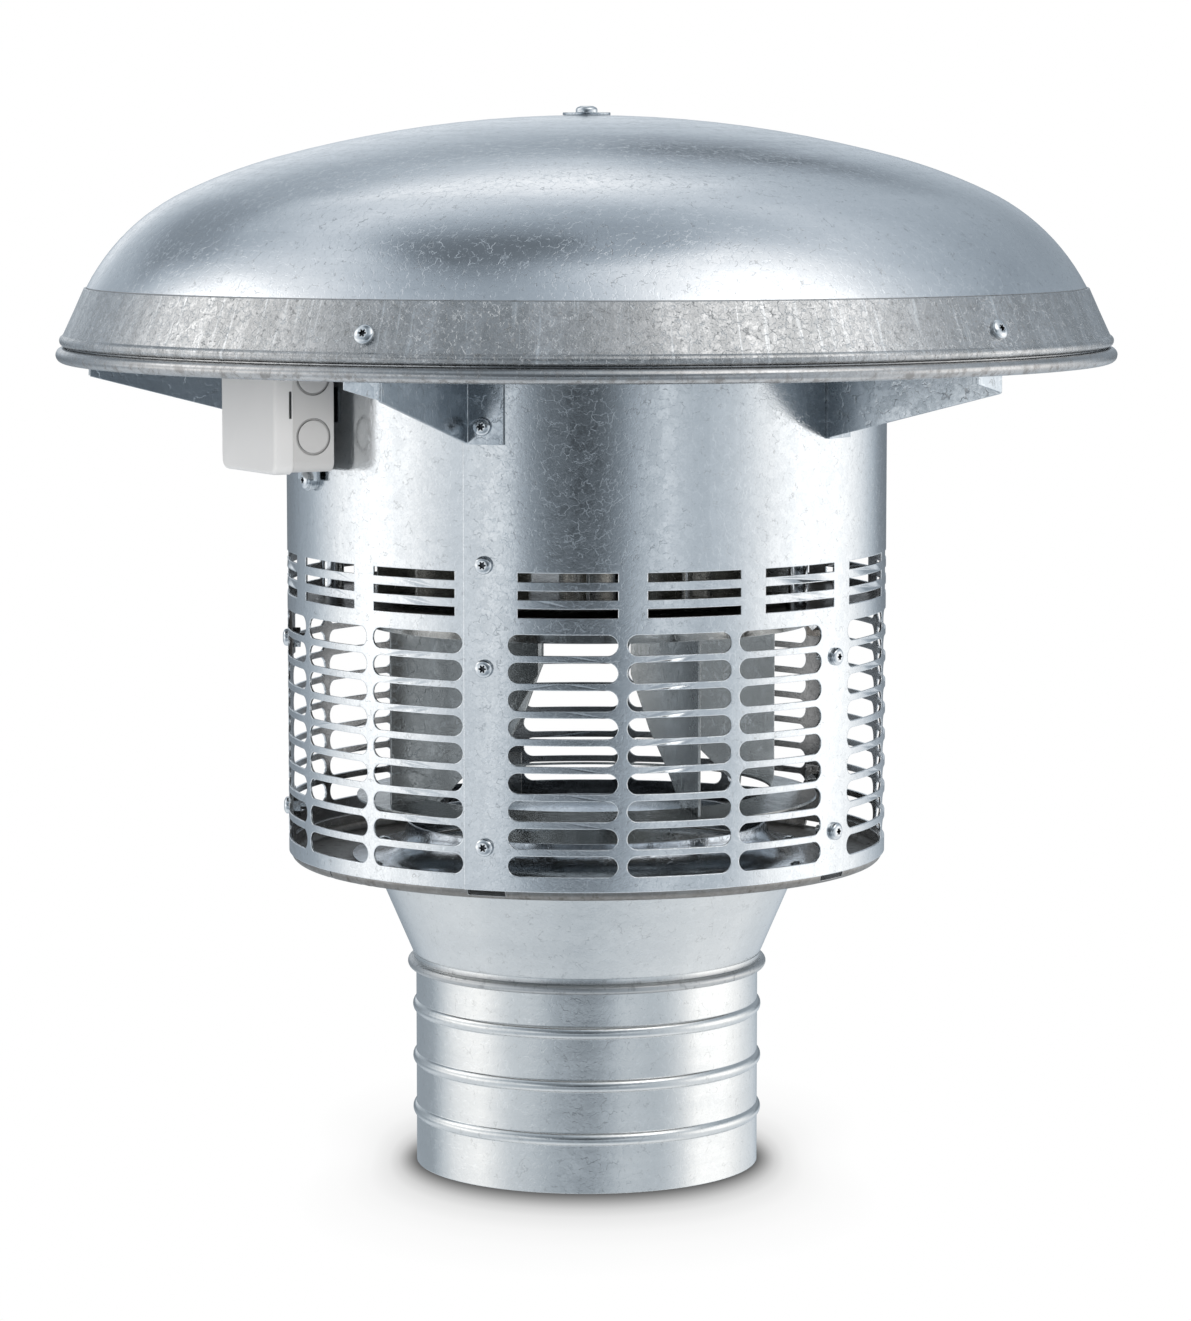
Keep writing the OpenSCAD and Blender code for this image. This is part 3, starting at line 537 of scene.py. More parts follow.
@dataclass(frozen=True)
class MetalFinish:
    """A finish of bare or zinc-coated metal."""

    name: str
    colour: Colour
    shade: Colour
    roughness: float
    crystals: float = 120.0
    patch: float = 0.5
    lines: float = 0.3
    specks: float = 0.3
    clouds: float = 0.2
    run: Run = Run.UPRIGHT
    drawn_density: float = 900.0
    drawn: float = 0.2
    bands: float = 0.2
    # Share of the painted highlight along cut and folded edges.
    edge: float = 0.6
    edge_width: float = 0.0005
    # Darkening below a height: brown dirt on some sheets, painted shade in a joint on others.
    dirt_and_shade: float = 0.0
    dirt_and_shade_top: float = 0.0
    dirt_and_shade_reach: float = 0.01
    dirt_and_shade_even: float = 0.0
    bump: float = 0.00006
    ripple: float = 0.35
    crackle: float = 1.0
    form: Form = Form.ANY
    # Painted shade on the sheet's inner face: its share and colour.
    inner_shade: float = 0.45
    inner_shade_colour: Colour = tone(86, 84, 82)
    light: Colour = tone(238, 241, 243)
    dirt_and_shade_colour: Colour = tone(92, 78, 64)
    spots: Colour = tone(98, 96, 92)

    def make(self, effects: Effects) -> bpy.types.Material:
        """Builds the material.

        Args:
            effects: The shared node groups.

        Returns:
            The material.
        """
        material = bpy.data.materials.new(self.name)
        material.use_nodes = True
        graph = Graph(material.node_tree)
        shader = material.node_tree.nodes["Principled BSDF"]
        place = graph.group(effects.place)
        point = place.outputs["Point"]
        skin = graph.group(effects.skin, Point=point, Density=self.crystals)
        drawn = graph.group(
            effects.drawn, Place=place.outputs[self.run.value], Density=self.drawn_density
        )
        edges = graph.group(effects.edges, Width=self.edge_width)
        edge, normal = edges.outputs["Edge"], edges.outputs["Normal"]
        if self.form is not Form.ANY:
            lean = 1.0
            if self.form is Form.CROWN:
                lean = graph.group(effects.crown, Point=point).outputs["Lean"]
            sheet = graph.group(effects.even, Point=point, Lean=lean)
            edge = graph.math("MULTIPLY", edge, sheet.outputs["Trust"])
            turned_edge = graph.add("ShaderNodeMix", data_type="VECTOR")
            graph.feed(turned_edge.inputs[0], graph.span(edge, 0.0, 0.2))
            graph.feed(turned_edge.inputs[4], sheet.outputs["Normal"])
            graph.feed(turned_edge.inputs[5], normal)
            normal = turned_edge.outputs[1]
        colour = graph.mix(
            graph.math("MULTIPLY", skin.outputs["Patches"], self.patch), self.colour, self.shade
        )
        colour = graph.mix(
            graph.math("MULTIPLY", skin.outputs["Clouds"], self.clouds), colour, self.shade
        )
        colour = graph.mix(
            graph.math("MULTIPLY", drawn.outputs["Bands"], self.bands), colour, self.shade
        )
        marks = graph.math("MULTIPLY", drawn.outputs["Lines"], self.drawn)
        veins = graph.math("MULTIPLY", skin.outputs["Lines"], self.lines)
        colour = graph.mix(graph.math("MAXIMUM", marks, veins), colour, self.light)
        cracks = graph.math("MULTIPLY", skin.outputs["Cracks"], self.lines * 1.2)
        colour = graph.mix(cracks, colour, self.spots)
        colour = graph.mix(
            graph.math("MULTIPLY", skin.outputs["Specks"], self.specks), colour, self.spots
        )
        rough = graph.math("MULTIPLY", skin.outputs["Patches"], 0.08)
        rough = graph.math("ADD", rough, graph.math("MULTIPLY", drawn.outputs["Bands"], 0.06))
        rough = graph.math("ADD", rough, graph.math("MULTIPLY", veins, 0.1))
        rough = graph.math("ADD", rough, self.roughness - 0.06, clamp=True)
        if self.form is not Form.ANY:
            # Painted shade on the sheet's inner face.
            inner_shade_mask = graph.math("MULTIPLY", sheet.outputs["Inside"], self.inner_shade)
            colour = graph.mix(inner_shade_mask, colour, self.inner_shade_colour)
        if self.dirt_and_shade > 0:
            # Darkening below a height: brown dirt on the skirt, rim and pan; painted shade at the
            # crown's joint and the cone's foot.
            grime_and_shade_node = graph.group(
                effects.grime_and_shade,
                Point=point,
                Height=place.outputs["Height"],
                Top=self.dirt_and_shade_top,
                Reach=self.dirt_and_shade_reach,
                Even=self.dirt_and_shade_even,
            )
            mask = graph.math("MULTIPLY", grime_and_shade_node.outputs["Mask"], self.dirt_and_shade)
            colour = graph.mix(mask, colour, self.dirt_and_shade_colour)
            rough = graph.blend_values(mask, rough, 0.75)
        # Painted highlight: a light line along cut and folded edges.
        colour = graph.mix(graph.math("MULTIPLY", edge, self.edge), colour, self.light)
        relief = graph.math("ADD", skin.outputs["Patches"], drawn.outputs["Bands"])
        relief = graph.math("MULTIPLY", relief, self.ripple)
        crackle = graph.math("ADD", skin.outputs["Lines"], skin.outputs["Cracks"])
        relief = graph.math("SUBTRACT", relief, graph.math("MULTIPLY", crackle, self.crackle))
        bump = graph.add("ShaderNodeBump")
        bump.inputs["Strength"].default_value = 1.0
        bump.inputs["Distance"].default_value = self.bump
        graph.feed(bump.inputs["Height"], relief)
        graph.feed(bump.inputs["Normal"], normal)
        shader.inputs["Metallic"].default_value = 1.0
        graph.feed(shader.inputs["Base Color"], colour)
        graph.feed(shader.inputs["Roughness"], rough)
        graph.feed(shader.inputs["Normal"], bump.outputs[0])
        return material


@dataclass(frozen=True)
class MouldedFinish:
    """A finish of moulded plastic with a fine spark texture."""

    name: str
    colour: Colour
    shade: Colour
    roughness: float = 0.5
    grain_density: float = 1900.0
    grain: float = 0.00003
    edge_width: float = 0.0006
    # Painted shade in grooves and hollows: its reach, share and colour.
    hollow_shade_reach: float = 0.0016
    hollow_shade: float = 0.8
    hollow_shade_colour: Colour = tone(96, 95, 94)

    def make(self, effects: Effects) -> bpy.types.Material:
        """Builds the material.

        Args:
            effects: The shared node groups.

        Returns:
            The material.
        """
        material = bpy.data.materials.new(self.name)
        material.use_nodes = True
        graph = Graph(material.node_tree)
        shader = material.node_tree.nodes["Principled BSDF"]
        place = graph.group(effects.place)
        point = place.outputs["Point"]
        skin = graph.group(effects.skin, Point=point, Density=60.0)
        edges = graph.group(effects.edges, Width=self.edge_width)
        wear = graph.math("MULTIPLY", skin.outputs["Clouds"], 0.25)
        colour = graph.mix(wear, self.colour, self.shade)
        # Painted highlight: a light line along the plastic's edges.
        colour = graph.mix(
            graph.math("MULTIPLY", edges.outputs["Edge"], 0.35), colour, tone(246, 246, 245)
        )
        # Painted shade in grooves and hollows, from ambient occlusion.
        hollow = graph.add("ShaderNodeAmbientOcclusion", samples=6, only_local=True)
        hollow.inputs["Distance"].default_value = self.hollow_shade_reach
        depth = graph.span(hollow.outputs["AO"], 0.85, 0.35)
        colour = graph.mix(graph.math("MULTIPLY", depth, self.hollow_shade), colour, self.hollow_shade_colour)
        grain = graph.noise(point, self.grain_density, 2.0)
        bump = graph.add("ShaderNodeBump")
        bump.inputs["Strength"].default_value = 1.0
        bump.inputs["Distance"].default_value = self.grain
        graph.feed(bump.inputs["Height"], grain)
        graph.feed(bump.inputs["Normal"], edges.outputs["Normal"])
        graph.feed(shader.inputs["Base Color"], colour)
        rough = graph.math("MULTIPLY", grain, 0.16)
        graph.feed(shader.inputs["Roughness"], graph.math("ADD", rough, self.roughness - 0.08))
        graph.feed(shader.inputs["Normal"], bump.outputs[0])
        return material


@dataclass(frozen=True)
class WireFinish:
    """A finish of enamelled wire wound round the axis, tied and varnished."""

    name: str
    colour: Colour
    shade: Colour
    roughness: float = 0.35
    wires: float = 1400.0

    def make(self, effects: Effects) -> bpy.types.Material:
        """Builds the material.

        Args:
            effects: The shared node groups.

        Returns:
            The material.
        """
        material = bpy.data.materials.new(self.name)
        material.use_nodes = True
        graph = Graph(material.node_tree)
        shader = material.node_tree.nodes["Principled BSDF"]
        place = graph.group(effects.place)
        drawn = graph.group(
            effects.drawn, Place=place.outputs[Run.ROUND.value], Density=self.wires
        )
        skin = graph.group(effects.skin, Point=place.outputs["Point"], Density=200.0)
        colour = graph.mix(drawn.outputs["Bands"], self.colour, self.shade)
        varnish = graph.math("MULTIPLY", skin.outputs["Clouds"], 0.4)
        colour = graph.mix(varnish, colour, tone(96, 52, 26))
        bump = graph.add("ShaderNodeBump")
        bump.inputs["Strength"].default_value = 1.0
        bump.inputs["Distance"].default_value = 0.0004
        graph.feed(bump.inputs["Height"], drawn.outputs["Bands"])
        graph.feed(shader.inputs["Base Color"], colour)
        rough = graph.math("MULTIPLY", drawn.outputs["Lines"], 0.2)
        graph.feed(shader.inputs["Roughness"], graph.math("ADD", rough, self.roughness))
        graph.feed(shader.inputs["Normal"], bump.outputs[0])
        shader.inputs["Metallic"].default_value = 0.8
        return material


# The crown carries painted shade in a thin line just above the skirt's top edge, and painted shade on
# its inner face.
CROWN = MetalFinish(
    "spun_crown_zinc", tone(216, 219, 222), tone(184, 190, 196), 0.13,
    crystals=290.0, patch=0.18, lines=0.3, specks=0.25, clouds=0.12,
    run=Run.ROUND, drawn_density=640.0, drawn=0.12, bands=0.08, bump=0.00004,
    ripple=0.25, crackle=0.7, form=Form.CROWN,
    dirt_and_shade=0.8, dirt_and_shade_top=0.4096, dirt_and_shade_reach=0.0003, dirt_and_shade_even=0.8, dirt_and_shade_colour=tone(86, 84, 82),
)
SKIRT = MetalFinish(
    "skirt_band_zinc", tone(208, 208, 208), tone(142, 143, 143), 0.2,
    crystals=370.0, patch=0.5, lines=0.4, specks=0.5, clouds=0.25,
    run=Run.UPRIGHT, drawn_density=420.0, drawn=0.42, bands=0.4, bump=0.00005,
    ripple=1.0, crackle=1.6,
    dirt_and_shade=0.15, dirt_and_shade_top=0.3895, dirt_and_shade_reach=0.004,
)
RIM = MetalFinish(
    "rim_ring_zinc", tone(192, 192, 192), tone(136, 136, 136), 0.17,
    crystals=300.0, patch=0.22, lines=0.12, specks=0.4, clouds=0.2,
    run=Run.ROUND, drawn_density=700.0, drawn=0.2, bands=0.25, bump=0.00002,
    dirt_and_shade=0.4, dirt_and_shade_top=0.383, dirt_and_shade_reach=0.006,
)
# The cage's inner face is darkened with painted shade, and its slot edges carry a strong painted
# highlight.
CAGE = MetalFinish(
    "cage_wrapper_zinc", tone(216, 219, 221), tone(170, 176, 181), 0.14,
    crystals=290.0, patch=0.22, lines=0.25, specks=0.4, clouds=0.12,
    drawn_density=260.0, drawn=0.08, bands=0.1, edge=1.0, edge_width=0.0008, bump=0.00004,
    ripple=0.3, crackle=0.45,
    form=Form.ROLLED, inner_shade=0.72, inner_shade_colour=tone(76, 72, 69),
)
FLUE = MetalFinish(
    "spigot_zinc", tone(216, 217, 216), tone(176, 180, 183), 0.12,
    crystals=260.0, patch=0.1, lines=0.18, specks=0.45, clouds=0.1,
    run=Run.ROUND, drawn_density=800.0, drawn=0.1, bands=0.1, bump=0.00003, crackle=0.5,
)
# The cone carries painted shade at its foot, over the collar bead below it.
CONE = replace(
    FLUE, name="cone_zinc", dirt_and_shade=0.5, dirt_and_shade_top=0.0986, dirt_and_shade_reach=0.0014, dirt_and_shade_even=0.6,
    dirt_and_shade_colour=tone(88, 88, 90),
)
# Its darker tone is partly the pan's own duller zinc and partly painted shade for its inside; the brown
# line at its rim is dirt.
PAN = MetalFinish(
    "base_pan_zinc", tone(172, 171, 169), tone(124, 122, 119), 0.2,
    crystals=240.0, patch=0.4, lines=0.15, specks=0.5, clouds=0.3,
    run=Run.ROUND, drawn_density=500.0, drawn=0.15, bands=0.3, bump=0.00003,
    dirt_and_shade=0.65, dirt_and_shade_top=0.1492, dirt_and_shade_reach=0.003, dirt_and_shade_even=0.6, dirt_and_shade_colour=tone(92, 84, 76),
)
BELL = MetalFinish(
    "inlet_bell_zinc", tone(204, 210, 216), tone(152, 160, 168), 0.15,
    crystals=240.0, patch=0.3, lines=0.1, specks=0.4, clouds=0.25,
    run=Run.ROUND, drawn_density=600.0, drawn=0.15, bands=0.2, bump=0.00003,
)
# Its darker, browner tone is painted shade for the sheets inside the cage.
INNER_SHEET = MetalFinish(
    "inner_sheet_zinc", tone(150, 144, 138), tone(92, 86, 80), 0.3,
    crystals=240.0, patch=0.4, lines=0.25, specks=0.4, clouds=0.4,
    run=Run.ROUND, drawn_density=500.0, drawn=0.15, bands=0.3,
)
BRACKET = MetalFinish(
    "bracket_zinc", tone(200, 206, 211), tone(140, 150, 158), 0.2,
    crystals=150.0, patch=0.4, lines=0.35, specks=0.45, clouds=0.4,
    drawn_density=500.0, drawn=0.25, bands=0.2, edge=0.7, bump=0.00004,
)
SCREW = MetalFinish(
    "bright_zinc_plate", tone(222, 225, 227), tone(178, 184, 189), 0.1,
    crystals=500.0, patch=0.3, lines=0.05, specks=0.15, clouds=0.15,
    drawn_density=1500.0, drawn=0.08, bands=0.1, edge=0.2, edge_width=0.0002, bump=0.00001,
)
IMPELLER = MetalFinish(
    "impeller_sheet_steel", tone(196, 197, 195), tone(136, 138, 137), 0.2,
    crystals=160.0, patch=0.35, lines=0.2, specks=0.45, clouds=0.5,
    run=Run.UPRIGHT, drawn_density=240.0, drawn=0.15, bands=0.35, edge=0.6, bump=0.00004,
    light=tone(206, 211, 214),
)
WHEEL = MetalFinish(
    "cooling_wheel_zinc", tone(206, 206, 202), tone(150, 146, 138), 0.2,
    crystals=220.0, patch=0.4, lines=0.2, specks=0.3, clouds=0.4, drawn=0.1, bands=0.2,
)
CORE = MetalFinish(
    "core_laminations", tone(118, 122, 126), tone(66, 68, 72), 0.36,
    crystals=300.0, patch=0.3, lines=0.0, specks=0.2, clouds=0.3,
    run=Run.ROUND, drawn_density=2600.0, drawn=0.5, bands=0.6, edge=0.3, bump=0.0001,
)
CASTING = MetalFinish(
    "cast_aluminium", tone(170, 172, 174), tone(132, 134, 137), 0.46,
    crystals=420.0, patch=0.5, lines=0.05, specks=0.45, clouds=0.3,
    drawn=0.05, bands=0.1, edge=0.5, edge_width=0.0008, bump=0.00014,
)
RECESS = MetalFinish(
    "shaded_recess", tone(70, 72, 75), tone(44, 46, 48), 0.3, drawn=0.0, edge=0.0, bump=0.00001,
)
WINDING = WireFinish("copper_winding", tone(196, 120, 72), tone(122, 64, 34))
LID_PLASTIC = MouldedFinish("box_lid_plastic", tone(230, 226, 222), tone(218, 215, 211), 0.48)
BASE_PLASTIC = MouldedFinish("box_base_plastic", tone(209, 205, 201), tone(196, 193, 189), 0.5)
SLOT_SHADE = MouldedFinish("lid_slot_shade", tone(58, 58, 58), tone(50, 50, 50), 0.6)


class Wardrobe:
    """Makes each finish once and puts it on pieces and CAD nodes."""

    def __init__(self) -> None:
        """Builds the shared effects."""
        self.effects = Effects()
        self.made: dict[str, bpy.types.Material] = {}
        self.dressed: set[str] = set()

    def material(self, finish: MetalFinish | MouldedFinish | WireFinish) -> bpy.types.Material:
        """Gives a finish's material, and builds it the first time."""
        if finish.name not in self.made:
            self.made[finish.name] = finish.make(self.effects)
        return self.made[finish.name]

    def dress(self, finish: MetalFinish | MouldedFinish | WireFinish, *nodes: str) -> None:
        """Puts a finish on CAD nodes.

        Args:
            finish: The finish.
            *nodes: Names of the nodes.
        """
        material = self.material(finish)
        for node in nodes:
            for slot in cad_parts[node].material_slots:
                slot.material = material
            self.dressed.add(node)
            log.info("dressed %s in %s", node, finish.name)


def turned(turn: float, radius: float, height: float, tilt: float = 0.0) -> Matrix:
    """Gives a place that faces outwards from the axis, with its +X along the outward way.

    Args:
        turn: Angle in degrees round the axis, from the front towards +X.
        radius: Distance from the axis in mm.
        height: Height in mm.
        tilt: Angle in degrees by which the place looks up.

    Returns:
        The matrix, in metres.
    """
    spin = Matrix.Rotation(math.radians(turn - 90), 4, "Z")
    move = Matrix.Translation((radius * MM, 0.0, height * MM))
    return spin @ move @ Matrix.Rotation(math.radians(-tilt), 4, "Y")


@dataclass
class Shell:
    """Gathers loops of vertices into one closed mesh."""

    verts: list[Vector] = field(default_factory=list)
    faces: list[tuple[int, ...]] = field(default_factory=list)
    inner: set[int] = field(default_factory=set)

    def loop(self, points: Iterable[Point], place: Matrix) -> list[int]:
        """Adds a loop of points.

        Args:
            points: Points in metres, in the place's own frame.
            place: Where the frame is.

        Returns:
            The indices of the new vertices.
        """
        first = len(self.verts)
        self.verts.extend(place @ Vector(point) for point in points)
        return list(range(first, len(self.verts)))

    def bridge(self, first: list[int], second: list[int]) -> None:
        """Joins two loops of the same length with quads."""
        count = len(first)
        for i in range(count):
            j = (i + 1) % count
            self.faces.append((first[i], first[j], second[j], second[i]))

    def cap(self, loop: list[int], centre: Point, place: Matrix) -> None:
        """Closes a loop with triangles to a centre point.

        Args:
            loop: The loop's indices.
            centre: The centre in metres, in the place's own frame.
            place: Where the frame is.
        """
        middle = self.loop([centre], place)[0]
        count = len(loop)
        for i in range(count):
            self.faces.append((loop[i], loop[(i + 1) % count], middle))

    def piece(
        self, name: str, finish: bpy.types.Material, sharp: float,
        inside: bpy.types.Material | None = None,
    ) -> bpy.types.Object:
        """Makes the object.

        Args:
            name: Name of the piece.
            finish: Its material.
            sharp: Angle in degrees above which an edge stays sharp.
            inside: The material of the faces that the shell marks as inner.

        Returns:
            The new object, in the scene.
        """
        mesh = bpy.data.meshes.new(name)
        mesh.from_pydata([tuple(v) for v in self.verts], [], self.faces)
        if inside is not None:
            mesh.polygons.foreach_set(
                "material_index", [int(i in self.inner) for i in range(len(self.faces))]
            )
        work = bmesh.new()
        work.from_mesh(mesh)
        bmesh.ops.recalc_face_normals(work, faces=work.faces)
        work.to_mesh(mesh)
        work.free()
        mesh.polygons.foreach_set("use_smooth", [True] * len(mesh.polygons))
        mesh.set_sharp_from_angle(angle=math.radians(sharp))
        mesh.materials.append(finish)
        if inside is not None:
            mesh.materials.append(inside)
        piece = bpy.data.objects.new(name, mesh)
        bpy.context.scene.collection.objects.link(piece)
        log.info("built %s with %d faces", name, len(mesh.polygons))
        return piece


@dataclass(frozen=True)
class StarScrew:
    """A pan-head screw with a star recess. Sizes are in mm, and its head seats at X 0."""

    length: float
    head_r: float = 4.0
    head_h: float = 2.7
    shank_r: float = 2.1
    recess_r: float = 1.9
    recess_depth: float = 1.35
    points: int = 6
    sides: int = 48
    dome_steps: int = 7

    def star(self, size: float, depth: float) -> list[Point]:
        """Gives the star's outline.

        Args:
            size: Outer radius in mm.
            depth: Distance along X in mm.

        Returns:
            Points in metres.
        """
        outline = []
        for i in range(self.sides):
            angle = 2 * math.pi * i / self.sides
            wave = 0.5 + 0.5 * math.cos(self.points * angle)
            reach = size * (0.56 + 0.44 * wave)
            outline.append(
                (depth * MM, reach * math.cos(angle) * MM, reach * math.sin(angle) * MM)
            )
        return outline

    def circle(self, radius: float, x: float) -> list[Point]:
        """Gives a circle round X, of a radius and at a distance in mm, as points in metres."""
        return [
            (
                x * MM,
                radius * math.cos(2 * math.pi * i / self.sides) * MM,
                radius * math.sin(2 * math.pi * i / self.sides) * MM,
            )
            for i in range(self.sides)
        ]

    def crown(self, radius: float) -> float:
        """Gives the height of the domed head at a radius, in mm."""
        edge = 0.42 * self.head_h
        share = min(radius / self.head_r, 1.0)
        return edge + (self.head_h - edge) * math.sqrt(max(0.0, 1 - share ** 2.4))

    def add_to(self, shell: Shell, place: Matrix) -> None:
        """Adds the screw to a shell.

        Args:
            shell: The shell.
            place: Where the head seats, with +X outwards.
        """
        last = shell.loop(self.circle(self.shank_r, -self.length), place)
        shell.cap(last, (-self.length * MM, 0.0, 0.0), place)
        outline = [self.circle(self.shank_r, 0.0), self.circle(self.head_r - 0.12, 0.0)]
        outline.append(self.circle(self.head_r, 0.12))
        rim = self.recess_r * 1.12
        for step in range(self.dome_steps + 1):
            share = math.sin(0.5 * math.pi * step / self.dome_steps)
            radius = self.head_r + (rim - self.head_r) * (1 - math.cos(0.5 * math.pi * share))
            outline.append(self.circle(radius, self.crown(radius)))
        top = self.crown(rim)
        outline.append(self.star(self.recess_r, top - 0.04))
        outline.append(self.star(self.recess_r * 0.93, top - 0.16))
        outline.append(self.star(self.recess_r * 0.82, top - self.recess_depth))
        for points in outline:
            following = shell.loop(points, place)
            first = len(shell.faces)
            shell.bridge(last, following)
            last = following
        shell.cap(last, ((top - self.recess_depth - 0.15) * MM, 0.0, 0.0), place)
        shell.inner.update(range(first, len(shell.faces)))


@dataclass
class Cage:
    """The perforated wrapper, its screws and the plate above the impeller. Sizes are in mm."""

    radius: float = 139.0
    strips: int = 5
    seam_turn: float = -18.6
    lap_rise: float = 0.9
    pan_screw_z: float = 167.0
    partition_screw_z: float = 246.0
    seam_screw_z: float = 291.4

    def strip_turn(self, index: int) -> float:
        """Gives the turn of a plain strip."""
        return self.seam_turn + index * 360 / self.strips

    def seat(self, index: int) -> float:
        """Gives the radius of a strip's outer face."""
        return self.radius + (self.lap_rise if index == 0 else 0.0)

    def screws(self, wardrobe: Wardrobe) -> None:
        """Builds the screws of the strips in place of their plain solids."""
        shell = Shell()
        screw = StarScrew(length=9.0)
        for index in range(self.strips):
            for height in (self.pan_screw_z, self.partition_screw_z):
                screw.add_to(shell, turned(self.strip_turn(index), self.seat(index), height))
        screw.add_to(shell, turned(self.seam_turn, self.seat(0), self.seam_screw_z))
        piece = shell.piece(
            "cage_star_screws", wardrobe.material(SCREW), 38.0, wardrobe.material(RECESS)
        )
        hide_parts("cage_screws")
        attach(piece, "housing")

    def build(self, wardrobe: Wardrobe) -> None:
        """Builds and dresses the cage."""
        self.screws(wardrobe)
        wardrobe.dress(CAGE, "cage_wall")
        wardrobe.dress(INNER_SHEET, "partition_plate")
        wardrobe.dress(SCREW, "cage_nuts")


@dataclass
class FlueInlet:
    """The spigot, its cone, the base pan and the bell inside it."""

    def build(self, wardrobe: Wardrobe) -> None:
        """Dresses the inlet."""
        wardrobe.dress(FLUE, "spigot")
        wardrobe.dress(CONE, "transition_cone")
        wardrobe.dress(PAN, "base_pan")
        wardrobe.dress(BELL, "inlet_bell")
        wardrobe.dress(SCREW, "inlet_rivets")


@dataclass
class Dome:
    """The spun crown, its skirt band, rim ring and brackets. Sizes are in mm."""

    cage: Cage
    skirt_slope: float = 24.5
    crown_end_r: float = 232.1
    crown_end_z: float = 404.9
    sheet_t: float = 0.8
    screw_z: float = 394.7
    screw_turns: tuple[float, ...] = (-4.1, -5.5, -4.6, -4.6, -4.6)
    bracket_t: float = 1.5
    bracket_screw_z: float = 352.0

    def skirt_out(self, height: float) -> float:
        """Gives the radius of the skirt's outer face at a height."""
        slope = math.radians(self.skirt_slope)
        inner = self.crown_end_r + (self.crown_end_z - height) * math.tan(slope)
        return inner + self.sheet_t / math.cos(slope)

    def skirt_screws(self, wardrobe: Wardrobe) -> None:
        """Builds the screws through the skirt in place of their plain solids."""
        shell = Shell()
        screw = StarScrew(length=11.0, head_r=4.5, head_h=2.9, recess_r=2.0)
        for index, aside in enumerate(self.screw_turns):
            turn = self.cage.strip_turn(index) + aside
            radius = self.skirt_out(self.screw_z)
            screw.add_to(shell, turned(turn, radius, self.screw_z, self.skirt_slope))
        piece = shell.piece(
            "skirt_star_screws", wardrobe.material(SCREW), 38.0, wardrobe.material(RECESS)
        )
        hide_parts("dome_screws")
        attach(piece, "housing")

    def bracket_screws(self, wardrobe: Wardrobe) -> None:
        """Builds the brackets' screws in place of their plain solids."""
        shell = Shell()
        screw = StarScrew(length=9.0)
        for index in range(self.cage.strips):
            radius = self.cage.seat(index) + self.bracket_t
            screw.add_to(shell, turned(self.cage.strip_turn(index), radius, self.bracket_screw_z))
        piece = shell.piece(
            "bracket_star_screws", wardrobe.material(SCREW), 38.0, wardrobe.material(RECESS)
        )
        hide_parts("bracket_screws")
        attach(piece, "housing")

    def cap_screw(self, wardrobe: Wardrobe) -> None:
        """Builds the screw at the dome's top in place of its plain solid."""
        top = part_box("cap_washer")[1][2]
        place = Matrix.Translation((0.0, 0.0, top)) @ Matrix.Rotation(math.radians(-90), 4, "Y")
        shell = Shell()
        StarScrew(length=9.0, head_r=5.0, head_h=3.2, shank_r=3.0, recess_r=2.4).add_to(
            shell, place
        )
        piece = shell.piece(
            "cap_star_screw", wardrobe.material(SCREW), 38.0, wardrobe.material(RECESS)
        )
        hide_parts("cap_screw")
        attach(piece, "housing")

    def build(self, wardrobe: Wardrobe) -> None:
        """Builds and dresses the dome."""
        self.skirt_screws(wardrobe)
        self.bracket_screws(wardrobe)
        self.cap_screw(wardrobe)
        wardrobe.dress(CROWN, "dome_crown")
        wardrobe.dress(SKIRT, "dome_skirt")
        wardrobe.dress(RIM, "rim_ring")
        wardrobe.dress(BRACKET, *(f"dome_bracket_{i + 1}" for i in range(self.cage.strips)))
        wardrobe.dress(BRACKET, "cap_washer")
        wardrobe.dress(SCREW, "cap_nut", "clip_nuts", "bracket_nuts")


